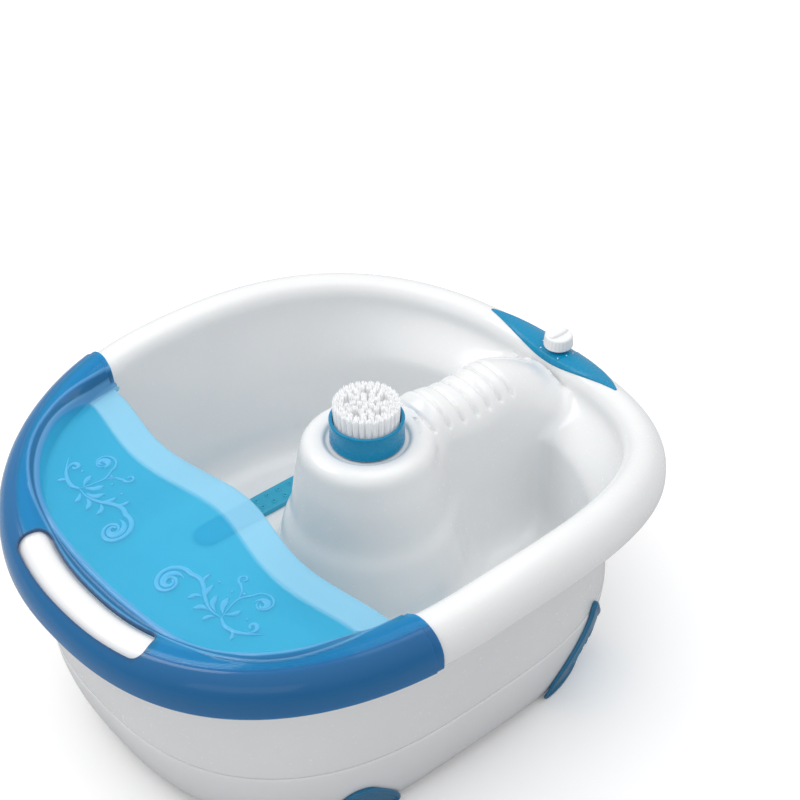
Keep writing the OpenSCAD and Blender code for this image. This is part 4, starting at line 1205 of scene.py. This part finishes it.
for k in order:
    w, (t_c, b_c, dd_, rr_) = W[k], ZONES[k]
    acc["t"] = acc["t"] * (1 - w[:, None]) + w[:, None] * np.array(t_c)
    acc["b"] = acc["b"] * (1 - w[:, None]) + w[:, None] * np.array(b_c)
    den = den * (1 - w) + w * dd_
    rou = rou * (1 - w) + w * rr_
for nm, v in (("zone_tint", acc["t"]), ("zone_body", acc["b"])):
    a_ = me.attributes.new(nm, "FLOAT_COLOR", "POINT")
    a_.data.foreach_set("color", np.column_stack([v, np.ones(len(v))]).astype(np.float32).ravel())
for nm, v in (("zone_density", den), ("zone_rough", rou)):
    a_ = me.attributes.new(nm, "FLOAT", "POINT")
    a_.data.foreach_set("value", v.astype(np.float32))
guard.name = "splash_guard_moulding"
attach(guard, "guard")
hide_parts("splash_guard")


# ------------------------------------------------------------------ relief scrolls on the panel
p2 = lambda *a: np.array(a, float)
def spline(pts, n):
    pts = [np.asarray(p, float) for p in pts]
    pts = [2 * pts[0] - pts[1]] + pts + [2 * pts[-1] - pts[-2]]
    out = []
    for i in range(1, len(pts) - 2):
        a, b, c, d = pts[i - 1:i + 3]
        for t in np.linspace(0, 1, n, endpoint=False):
            out.append(0.5 * (2 * b + (c - a) * t + (2 * a - 5 * b + 4 * c - d) * t ** 2 + (3 * b - a - 3 * c + d) * t ** 3))
    out.append(pts[-2])
    return np.array(out)


def curl(centre, r0, r1, a0, turns, n=70):
    """A spiral that winds in from radius r0 to r1."""
    t = np.linspace(0, 1, n)
    a = np.radians(a0 + 360 * turns * t)
    r = r0 * (r1 / r0) ** t
    return np.stack([centre[0] + r * np.cos(a), centre[1] + r * np.sin(a)], 1)


def ribbon(line, w0, w1, w2, peak=0.5, high=0.5, cols=7):
    """A raised strip with pointed ends along a line on the panel; w0, w1 and w2 are half-widths at the start, the peak and the end."""
    line = np.asarray(line, float)
    s = np.concatenate([[0], np.cumsum(np.linalg.norm(np.diff(line, axis=0), axis=1))])
    s /= s[-1]
    w0, w1, w2 = w0, w1 * 1.35, w2 * 1.2
    w = np.where(s < peak, w0 + (w1 - w0) * np.sin(np.pi / 2 * s / peak), w2 + (w1 - w2) * np.cos(np.pi / 2 * (s - peak) / (1 - peak)))
    g = np.gradient(line, axis=0)
    g /= np.maximum(np.linalg.norm(g, axis=1, keepdims=True), 1e-9)
    nrm = np.stack([-g[:, 1], g[:, 0]], 1)
    c = np.linspace(-1, 1, cols)
    xy = line[:, None] + nrm[:, None] * (c[None, :, None] * w[:, None, None])
    flat = xy.reshape(-1, 2)
    z0 = panel_surface(flat[:, 0], flat[:, 1]).reshape(xy.shape[:2])
    hgt = high * sat(w / 0.7)[:, None] * (1 - c[None] ** 4)
    t_ = np.concatenate([xy, (z0 + 0.06 + hgt)[..., None]], -1)
    b_ = np.concatenate([xy, (z0 - 0.25)[..., None]], -1)
    return slab_mesh(t_, b_)


def drop(a, b, w, high=0.5, bend=0.0):
    a, b = np.asarray(a, float), np.asarray(b, float)
    m = (a + b) / 2 + bend * np.array([-(b - a)[1], (b - a)[0]])
    return ribbon(spline([a, m, b], 12), 0.12, w, 0.1, peak=0.68, high=high)


def motif():
    """One group of scrolls for the +X side: a stem that follows the panel's edge, a large curl, two light curls and leaves."""
    out = []
    # large curl near the toe end, rolled up from the stem
    stem = spline([(76.5, -146.0), (66, -146.5), (56, -143.0), (48.5, -138.6), (41.5, -136.6), (35.0, -138.2)], 14)
    big = curl((30.5, -151.0), 13.6, 2.2, 70, 1.55, 90)
    out.append(ribbon(np.concatenate([stem, big]), 0.3, 1.25, 0.7, peak=0.42, high=0.6))
    out.append(ribbon(curl((30.6, -150.6), 8.4, 1.6, 60, 1.15, 60), 0.15, 1.6, 0.5, peak=0.45, high=0.5))
    # fine curl above the stem
    up_ = spline([(76.5, -146.0), (73.5, -138.0), (72.0, -129.5), (76.0, -121.0)], 12)
    fine = curl((85.0, -121.8), 9.2, 2.4, 172, -1.25, 70)
    out.append(ribbon(np.concatenate([up_[:-1], fine]), 0.3, 0.62, 0.35, peak=0.35, high=0.45))
    out.append(ribbon(curl((85.6, -122.6), 5.4, 1.4, 200, -0.95, 40), 0.15, 1.5, 0.4, peak=0.5, high=0.5))
    # tail that runs along the bead
    tail = spline([(76.5, -146.0), (83.0, -148.0), (91.0, -146.2), (98.5, -141.5), (105.5, -135.0)], 12)
    out.append(ribbon(tail, 0.9, 1.05, 0.12, peak=0.3, high=0.5))
    hook = curl((95.2, -137.2), 4.4, 1.3, 285, 1.05, 40)
    out.append(ribbon(hook, 0.25, 1.1, 0.5, peak=0.5, high=0.5))
    # small hook towards the lip
    out.append(ribbon(np.concatenate([spline([(72.0, -130.5), (68.0, -124.5), (62.5, -121.5)], 10)[:-1], curl((61.0, -117.6), 4.1, 1.3, 290, -0.95, 34)]), 0.2, 0.7, 0.45, peak=0.5, high=0.42))
    # leaves
    for a, b, w, k in [((74.5, -143.5), (66.5, -133.5), 1.5, 0.12), ((75.8, -143.0), (80.5, -134.0), 1.25, -0.12), ((70.0, -145.5), (60.0, -137.0), 1.35, 0.18),
                       ((66.0, -147.5), (57.5, -153.0), 1.3, -0.18), ((59.0, -145.5), (52.0, -133.5), 1.2, 0.15), ((55.0, -143.8), (49.0, -151.0), 1.2, -0.2),
                       ((73.0, -147.5), (68.5, -154.5), 1.15, -0.12), ((47.0, -138.0), (43.5, -129.5), 1.0, 0.16), ((88.0, -147.2), (93.5, -152.0), 1.0, 0.14)]:
        out.append(drop(a, b, w, bend=k))
    for x, y, r in [(70.8, -125.0, 0.9), (88.2, -135.8, 0.8), (52.6, -129.6, 0.8), (64.2, -129.0, 0.75)]:
        out.append(ribbon(p2((x - r * 1.3, y), (x - r * 0.6, y), (x, y), (x + r * 0.6, y), (x + r * 1.3, y)), 0.1, r, 0.1, high=0.45))
    return out


group = motif()
mirrored = [(np.asarray(v) * (-1, 1, 1), [f[::-1] for f in q]) for v, q in group]
V, F = joined(group + mirrored)
scrolls = make("guard_scroll_relief", V, F, SCROLL, "guard", smooth_angle=50)


# ------------------------------------------------------------------ control panel and knob
KX, KY = 0.0, RE + 2.5
ns, nt_ = 181, 45
s_, t_ = np.meshgrid(np.linspace(-1, 1, ns), np.linspace(-1, 1, nt_), indexing="ij")
w_ = 11.5 * (1 - s_ ** 2) + 0.6
edge_mm = (1 - np.abs(t_)) * w_
end_edge = (1 - np.abs(s_)) * 48
rnd = 0.8 * (1 - np.sqrt(1 - sat(1 - np.minimum(edge_mm, end_edge) / 1.1) ** 2))
xyz = roll_pt(s_ * 16, 2.5 + t_ * w_, 0.0)
rk = np.hypot(xyz[..., 0] - KX, xyz[..., 1] - KY)
k_top = 1.25 - rnd + 0.35 * np.exp(-((edge_mm - 2.4) / 0.7) ** 2) * smooth(2.0, 4.5, w_) - 0.35 * smooth(13.2, 12.6, rk)
V, F = slab_mesh(roll_pt(s_ * 16, 2.5 + t_ * w_, k_top), roll_pt(s_ * 16, 2.5 + t_ * w_, -1.6))
leaf = temp("leaf", V, F)
apply_boolean(leaf, temp("lc", *disc(KX, KY, 130, 172, 4.05)), "DIFFERENCE")
leaf.data.materials.clear()
leaf.data.materials.append(CYAN)
finish_mesh(leaf, 40)
leaf.name = "control_panel_leaf"
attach(leaf, "basin")
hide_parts("control_panel")
# tick marks round the knob
ticks = []
for i, a in enumerate(np.linspace(-135, 135, 10)):
    r0, r1 = 11.6, (12.7 if i % 3 else 12.7)
    an = math.radians(a + 90)
    u, v = np.array([math.cos(an), math.sin(an)]), np.array([-math.sin(an), math.cos(an)])
    pts = np.array([np.array([KX, KY]) + u * r + v * q for r, q in ((r0, -0.32), (r1, -0.32), (r1, 0.32), (r0, 0.32))])
    d_of = lambda y, x: 0
    zs = []
    for x, y in pts:
        p = math.degrees(math.atan2(x, y + 25))
        dd = np.linspace(-10.9, 17.9, 400)
        rr = roll_pt(np.full(400, p % 360), dd, np.full(400, 0.9))
        zs.append(float(np.interp(y, rr[:, 1], rr[:, 2])))
    zs = np.array(zs)
    v3 = np.concatenate([np.column_stack([pts, zs - 0.5]), np.column_stack([pts, zs + 0.22])])
    ticks.append((v3, [(3, 2, 1, 0), (4, 5, 6, 7), (0, 1, 5, 4), (1, 2, 6, 5), (2, 3, 7, 6), (3, 0, 4, 7)]))
V, F = joined(ticks)
make("dial_ticks", V, F, KNOB, "basin")
# knob: fluted skirt and a domed top with a tapered finger bar
KZ = 153.4
prof = [(0, 0.0), (8.9, 0.0), (9.9, 0.0), (10.3, 0.15), (10.5, 0.6), (10.5, 1.2), (10.4, 3.0), (10.2, 5.0), (10.05, 6.6), (9.9, 7.6), (9.6, 8.3), (9.1, 8.75), (8.4, 8.98), (7.4, 8.9), (6.4, 8.72), (4.5, 8.6), (2.5, 8.56), (0, 8.55)]
prof = np.array(prof)
seg = 192
a = np.arange(seg) * 2 * math.pi / seg
flute = 0.34 * (0.5 - 0.5 * np.cos(24 * a)) ** 2
R3 = []
for r, z in prof:
    dep = flute * float(smooth(0.9, 2.2, z) * smooth(8.2, 7.0, z)) if r > 9 else 0 * flute
    R3.append(np.stack([KX + (r - dep) * np.cos(a), KY + (r - dep) * np.sin(a), np.full(seg, KZ + z)], -1))
R3 = np.array(R3)
knob = temp("knob", R3.reshape(-1, 3), ring_faces(len(prof), seg))
nb, mb = 41, 13
sb, tb = np.meshgrid(np.linspace(-1, 1, nb), np.linspace(-1, 1, mb), indexing="ij")
half = 1.55 + 0.75 * (1 - sb ** 2)
bx = KX + tb * half * (1 - 0.12 * np.abs(sb) ** 4)
by = KY + sb * 8.6
top_z = KZ + 8.2 + 2.35 * np.sqrt(np.clip(1 - np.abs(sb) ** 6, 0, 1)) * (1 - 0.55 * np.abs(tb) ** 5) - 0.25 * np.exp(-(tb / 0.16) ** 2) * smooth(-0.1, -0.25, sb)
V, F = slab_mesh(np.stack([bx, by, top_z], -1), np.stack([bx * 0 + KX + tb * (half + 0.25), by * 1.0, np.full_like(bx, KZ + 7.2)], -1))
apply_boolean(knob, temp("kb", *joined([(V, F)])), "UNION")
apply_boolean(knob, temp("ks", *joined([disc(KX, KY, 142, 155, 2.5, 40)])), "UNION")
knob.data.materials.clear()
knob.data.materials.append(KNOB)
finish_mesh(knob, 34)
knob.name = "control_knob_moulding"
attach(knob, "knob")
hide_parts("control_knob")


# ------------------------------------------------------------------ massage brush
def lathe(name, prof, seg, centre, mat, body, angle=36):
    V, F = revolve(prof, seg, centre)
    return make(name, V, F, mat, body, smooth_angle=angle)


def arc2(cx, cz, r, a0, a1, n):
    t = np.radians(np.linspace(a0, a1, n))
    return [(cx + r * math.cos(q), cz + r * math.sin(q)) for q in t]


cup = [(0, 148.0), (5.3, 148.0)] + arc2(5.3, 148.7, 0.7, -90, 0, 5)[1:] + [(6, 154), (6, 160.9)] + [(9.9, 160.9), (10.1, 161.1), (10.2, 163), (21.8, 163), (21.9, 161.1), (22.1, 160.9), (23.9, 160.85)]
cup += arc2(24.0, 161.85, 1.0, -90, 0, 7) + [(24.9, 163.5), (24.75, 166.5), (24.7, 170.5), (24.8, 174.5), (24.95, 177.2)] + arc2(23.8, 178.0, 1.2, 0, 180, 15) + [(22.6, 177.0), (22.55, 172), (22.5, 168.2), (22.2, 167.4), (21.4, 167.05), (0, 167.0)]
ob = lathe("brush_cup_moulding", cup, 192, (0, HUMP_Y), CYAN, "brush")
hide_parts("brush_cup")
base = [(0, 167.1), (21.6, 167.1), (22.2, 167.5), (22.35, 168.2), (22.35, 169.6)] + arc2(21.55, 169.65, 0.8, 0, 90, 6) + [(0, 170.45)]
ob = lathe("bristle_base", base, 160, (0, HUMP_Y), CYAN, "brush")
# the sockets that hold the tufts show as low collars
tufts = []
for r, k, miss, off in ((20.1, 30, 0, 0.0), (16.3, 22, 0, 4.0), (12.3, 15, 3, 0.0), (8.3, 10, 0, 9.0), (4.3, 5, 0, 18.0), (0.0, 1, 0, 0.0)):
    for i in range(k):
        if miss and i % miss == 0:
            continue
        an = 2 * math.pi * i / k + math.radians(off)
        tufts.append((r * math.cos(an), r * math.sin(an), r, an))
collar_prof = np.array([(0.0, 170.3), (1.62, 170.3), (1.62, 170.75), (1.5, 170.95), (1.2, 171.0), (0.0, 171.0)])
parts = []
for x, y, r, an in tufts:
    parts.append(revolve(collar_prof, 14, (x, y + HUMP_Y)))
V, F = joined(parts)
make("tuft_collars", V, F, BRISTLE, "brush", smooth_angle=40)
hexes = [(0.0, 0.0)] + [(0.60 * math.cos(q), 0.60 * math.sin(q)) for q in np.radians(np.arange(0, 360, 60))] + [(1.14 * math.cos(q), 1.14 * math.sin(q)) for q in np.radians(np.arange(15, 375, 30))]
six = np.arange(6) * math.pi / 3
V, F, off = [], [], 0
for x, y, r, an in tufts:
    out = np.array([math.cos(an), math.sin(an)]) if r > 0 else np.zeros(2)
    tilt = out * (0.55 * (r / 20.0)) + rng.normal(0, 0.10, 2)
    top_h = 191.6 + rng.normal(0, 0.25)
    for hx, hy in hexes:
        ax, ay = x + hx, y + hy + HUMP_Y
        zt = top_h + rng.normal(0, 0.35) - 0.25 * math.hypot(hx, hy)
        zt = min(zt, 192.9)
        splay = np.array([hx, hy]) * (0.52 + rng.normal(0, 0.12)) + rng.normal(0, 0.14, 2)
        ks = np.array([0.0, 0.35, 0.7, 0.93, 1.0])
        rad = np.array([0.28, 0.28, 0.28, 0.27, 0.16])
        cx = ax + (tilt[0] + splay[0]) * ks ** 1.6
        cy = ay + (tilt[1] + splay[1]) * ks ** 1.6
        cz = 169.6 + (zt - 169.6) * ks
        rot = rng.uniform(0, math.pi)
        P = np.stack([cx[:, None] + rad[:, None] * np.cos(six + rot), cy[:, None] + rad[:, None] * np.sin(six + rot), np.repeat(cz[:, None], 6, 1)], -1).reshape(-1, 3)
        V.append(P)
        for i in range(4):
            for j in range(6):
                F.append((off + i * 6 + j, off + i * 6 + (j + 1) % 6, off + (i + 1) * 6 + (j + 1) % 6, off + (i + 1) * 6 + j))
        F.append(tuple(off + j for j in range(6))[::-1])
        F.append(tuple(off + 24 + j for j in range(6)))
        off += 30
me = bpy.data.meshes.new("brush_filaments")
me.from_pydata([tuple(v) for v in np.concatenate(V) * MM], [], F)
me.polygons.foreach_set("use_smooth", [True] * len(me.polygons))
me.materials.append(BRISTLE)
fil = bpy.data.objects.new("brush_filaments", me)
bpy.context.scene.collection.objects.link(fil)
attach(fil, "brush")
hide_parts("brush_bristles")


# ------------------------------------------------------------------ feet
def foot_piece(name, node, pc, h, half, tip):
    nz, nx = 133, 121
    zt = 1 - (1 - np.linspace(0, 1, nz)) ** 1.15
    z = 0.8 + (h - 0.8) * zt
    u = (z - 0.8) / (h - 0.8)
    w = np.maximum(0.8, (tip + (half - tip) * np.cos(np.radians(90 * sat(u ** 1.15 * 1.08))) ** 1.5) * np.sqrt(np.clip(1 - u ** 9, 0, 1)) * np.where(u < 0.08, 0.9 + u / 0.8, 1.0))
    s = np.linspace(-1, 1, nx)
    s = np.sign(s) * np.abs(s) ** 0.92
    Z = np.repeat(z[:, None], nx, 1)
    X = s[None] * w[:, None]
    q = pc + X / 3.25
    flat_q, flat_z = q.reshape(-1), Z.reshape(-1)
    zz = np.maximum(flat_z, 4)
    inner = body_pt(flat_q, zz, 0.35 + 0.75 * sat((18 - flat_z) / 6)).reshape(nz, nx, 3)
    # distance to the outline in the unrolled foot
    slope = np.gradient(w, z)
    de = np.minimum((w[:, None] - np.abs(X)) / np.sqrt(1 + np.clip(slope, -4, 4)[:, None] ** 2), np.minimum(Z - 0.8, (h - Z)) * 0.9 + 0.0)
    crown = 1.6 + 2.6 * np.sqrt(np.clip(1 - 0.98 * s[None] ** 2, 0, 1)) * (1 - 0.35 * Z / h)
    crown = crown - 0.9 * smooth(2.4, 5.0, de) + 0.35 * np.exp(-((de - 1.5) / 0.9) ** 2)
    crown = crown - 0.9 * (1 - np.sqrt(1 - sat(1 - de / 0.9) ** 2))
    # slots that join at the bottom
    pitch, rad = h * 0.155, h * 0.066
    pitch = float(np.clip(pitch, 6.2, 10.5))
    rad = float(np.clip(rad, 2.5, 4.35))
    z_low, sd = h * 0.17, np.full(X.shape, 99.0)
    for k in (-1, 0, 1):
        zc0, zc1 = z_low + rad + abs(k) * h * 0.045, h * (0.60 - 0.10 * abs(k)) - rad
        lean = 1 - 0.16 * sat((Z - zc0) / max(zc1 - zc0, 1))
        sd = np.minimum(sd, np.hypot(X - k * pitch * lean, np.maximum(np.maximum(zc0 - Z, Z - zc1), 0)) - rad * (1 - 0.10 * sat((Z - zc0) / max(zc1 - zc0, 1))))
    bx_, bz_ = np.abs(X) - (pitch * 0.9), np.abs(Z - (z_low + rad * 1.35 + 0.02 * h)) - rad * 0.95
    box = np.hypot(np.maximum(bx_, 0), np.maximum(bz_, 0)) + np.minimum(np.maximum(bx_, bz_), 0) - 0.6
    sd = np.minimum(sd, box)
    sd = np.maximum(sd, 3.2 - de)
    crown = crown - 1.0 * smooth(0.55, -0.55, sd) + 0.25 * np.exp(-((sd - 1.0) / 0.55) ** 2)
    crown = np.maximum(crown, 0.9)
    outer = body_pt(flat_q, zz, crown.reshape(-1)).reshape(nz, nx, 3)
    outer[..., 2] = Z
    inner[..., 2] = Z
    V, F = slab_mesh(outer, inner)
    nf = (nz - 1) * (nx - 1)
    mid = (sd[:-1, :-1] + sd[1:, :-1] + sd[:-1, 1:] + sd[1:, 1:]) / 4
    fm = np.zeros(len(F), int)
    fm[:nf] = (mid < 0.1).reshape(-1).astype(int)
    ob = make(name, V, F, [TEAL, TEAL_LIGHT], "basin", face_mat=fm, smooth_angle=40)
    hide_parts(node)
    return ob


for side, sg in (("right", 1), ("left", -1)):
    foot_piece(f"rear_{side}_foot_moulding", f"rear_{side}_foot", sg * 49, 68, 36, 7)
    foot_piece(f"front_{side}_foot_moulding", f"front_{side}_foot", sg * 118.5, 36, 34, 13)


# ------------------------------------------------------------------ bubble strips on the floor of the wells
def strip_piece(side, sx):
    per = []
    for cy, a0 in ((64, 0), (-40, 180)):
        for t in np.linspace(0, 180, 33):
            per.append((10 * math.cos(math.radians(a0 + t)), cy + 10 * math.sin(math.radians(a0 + t))))
    # extra points along the straight sides keep the faces even
    pts = []
    per = np.array(per)
    for i in range(len(per)):
        a_, b_ = per[i], per[(i + 1) % len(per)]
        m = max(1, int(np.linalg.norm(b_ - a_) / 3))
        for t in range(m):
            pts.append(a_ + (b_ - a_) * t / m)
    pts = np.array(pts)
    cen = np.array([0, 12.0])
    spine = np.stack([np.zeros(len(pts)), np.clip(pts[:, 1], -40, 64)], 1)
    dirn = (pts - spine) / 10.0
    rows = []
    for r, z in ((7.0, 0.2), (7.0, 0.0), (9.6, 0.0), (10.0, 0.3), (10.0, 2.8), (9.8, 3.3), (9.4, 3.7), (8.8, 3.95), (8.0, 4.0), (7.3, 3.85), (6.9, 3.72), (6.0, 3.7)):
        rows.append(np.column_stack([spine + dirn * r, np.full(len(pts), z)]))
    rows = rows[2:]
    V = np.array(rows).reshape(-1, 3)
    n_ = len(pts)
    F = [tuple(f) for f in ring_faces(len(rows), n_)]
    F += [tuple(range(n_))[::-1], tuple(range((len(rows) - 1) * n_, len(rows) * n_))]
    V = V + (sx * 100, 0, 45.1)
    ob = temp("strip", V, F)
    holes = [(sx * 100 + dx, -34 + 10 * i) for i in range(9) for dx in (-4, 4)]
    adds = []
    for x, y in holes:
        v, f = revolve([(0.0, 48.2), (2.2, 48.2), (2.2, 48.8), (2.0, 49.15), (1.6, 49.4), (1.1, 49.52), (0.0, 49.55)], 28, (x, y))
        adds.append((v, f))
    barb_y = BARB_Y
    adds.append(disc(sx * 100, barb_y, 36.6, 45.6, 2.5, 32))
    apply_boolean(ob, temp("sa", *joined(adds)), "UNION")
    cut = [disc(x, y, 44, 52, 0.6, 18) for x, y in holes]
    apply_boolean(ob, temp("sc", *joined(cut)), "DIFFERENCE")
    apply_boolean(ob, temp("sh", *joined([block(sx * 100 - 7, sx * 100 + 7, -38, 54, 44.6, 47.6, 2.0)])), "DIFFERENCE")
    apply_boolean(ob, temp("sb", *joined([disc(sx * 100, barb_y, 34, 47.0, 1.5, 24)])), "DIFFERENCE")
    ob.data.materials.clear()
    ob.data.materials.append(CYAN_STRIP)
    finish_mesh(ob, 36)
    ob.name = f"{side}_bubble_strip_moulding"
    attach(ob, "basin")
    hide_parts(f"{side}_bubble_strip")


BARB_Y = 62.0
strip_piece("left", -1)
strip_piece("right", 1)


# ------------------------------------------------------------------ floor, light and camera
n = 61
g = np.linspace(-1, 1, n)
X, Y = np.meshgrid(g, g, indexing="ij")
fl = bpy.data.meshes.new("floor")
V = np.stack([X * 4.0, Y * 4.0, np.zeros_like(X)], -1).reshape(-1, 3)
fl.from_pydata([tuple(v) for v in V], [], [tuple(int(i) for i in f) for f in grid_faces(n, n)])
floor = bpy.data.objects.new("floor", fl)
bpy.context.scene.collection.objects.link(floor)
fl.materials.append(plastic("pale_floor", (0.97, 0.97, 0.972), rough=0.7, vary=0.004, bump=0.01, scale=60, glow=0.09))
# the floor looks white to the camera and throws less light back up at the sides
fnt = fl.materials[0].node_tree
fo = next(n for n in fnt.nodes if n.type == "OUTPUT_MATERIAL")
fs = fo.inputs["Surface"].links[0].from_socket
flp = fnt.nodes.new("ShaderNodeLightPath")
fdf = fnt.nodes.new("ShaderNodeBsdfDiffuse")
fdf.inputs["Color"].default_value = (0.56, 0.565, 0.575, 1)
fmx = fnt.nodes.new("ShaderNodeMixShader")
fnt.links.new(flp.outputs["Is Camera Ray"], fmx.inputs[0])
fnt.links.new(fdf.outputs[0], fmx.inputs[1])
fnt.links.new(fs, fmx.inputs[2])
fnt.links.new(fmx.outputs[0], fo.inputs["Surface"])
floor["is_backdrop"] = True

sc = bpy.context.scene
sc.view_settings.view_transform = "Standard"
sc.view_settings.look = "None"
world = bpy.data.worlds.new("studio")
sc.world = world
world.use_nodes = True
nt = world.node_tree
bgn = nt.nodes["Background"]
wc = nt.nodes.new("ShaderNodeTexCoord")
ws = nt.nodes.new("ShaderNodeSeparateXYZ")
wr = nt.nodes.new("ShaderNodeValToRGB")
nt.links.new(wc.outputs["Generated"], ws.inputs[0])
nt.links.new(ws.outputs["Z"], wr.inputs["Fac"])
wr.color_ramp.elements[0].position = 0.0
wr.color_ramp.elements[0].color = (0.50, 0.505, 0.515, 1)
wr.color_ramp.elements[1].position = 0.85
wr.color_ramp.elements[1].color = (1.0, 1.0, 1.0, 1)
# behind the floor's far edge the camera sees the same pale tone as the floor
wl = nt.nodes.new("ShaderNodeLightPath")
wm = nt.nodes.new("ShaderNodeMix")
wm.data_type = "RGBA"
wm.inputs["B"].default_value = (0.92, 0.922, 0.925, 1)
nt.links.new(wl.outputs["Is Camera Ray"], wm.inputs["Factor"])
nt.links.new(wr.outputs["Color"], wm.inputs["A"])
nt.links.new(wm.outputs["Result"], bgn.inputs[0])
bgn.inputs[1].default_value = 1.08


def area(name, loc, look, size, power, colour=(1, 1, 1), size_y=None):
    l = bpy.data.lights.new(name, "AREA")
    l.energy = power
    l.color = colour
    l.size = size
    if size_y:
        l.shape = "RECTANGLE"
        l.size_y = size_y
    ob = bpy.data.objects.new(name, l)
    ob.location = loc
    ob.rotation_euler = (Vector(look) - Vector(loc)).to_track_quat("-Z", "Y").to_euler()
    sc.collection.objects.link(ob)
    ob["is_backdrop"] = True
    return ob


area("key", (-0.75, -0.55, 1.25), (0, 0, 0.1), 0.7, 5.0, (1.0, 0.99, 0.97))
area("overhead", (0.15, 0.35, 1.5), (0, 0, 0.1), 1.1, 3.4, (0.98, 0.99, 1.0))
area("front_strip", (0.5, -1.15, 0.65), (0, -0.05, 0.12), 0.9, 0.5, (1, 1, 1), 0.35)

cam = bpy.data.cameras.new("camera")
cam.sensor_width = 36.0
cam.lens = 85.12
co = bpy.data.objects.new("camera", cam)
sc.collection.objects.link(co)
aa, ee, roll = 0.878, 0.666, -0.013
back = np.array([math.sin(aa) * math.cos(ee), -math.cos(aa) * math.cos(ee), math.sin(ee)])
right = np.array([math.cos(aa), math.sin(aa), 0.0])
up = np.cross(back, right)
r2 = right * math.cos(roll) + up * math.sin(roll)
u2 = -right * math.sin(roll) + up * math.cos(roll)
co.matrix_world = Matrix(((r2[0], u2[0], back[0], 0.7526), (r2[1], u2[1], back[1], -0.5694), (r2[2], u2[2], back[2], 0.9467), (0, 0, 0, 1)))
sc.camera = co

{"cad": CAD_BOX, "visual": as_lists(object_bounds())}
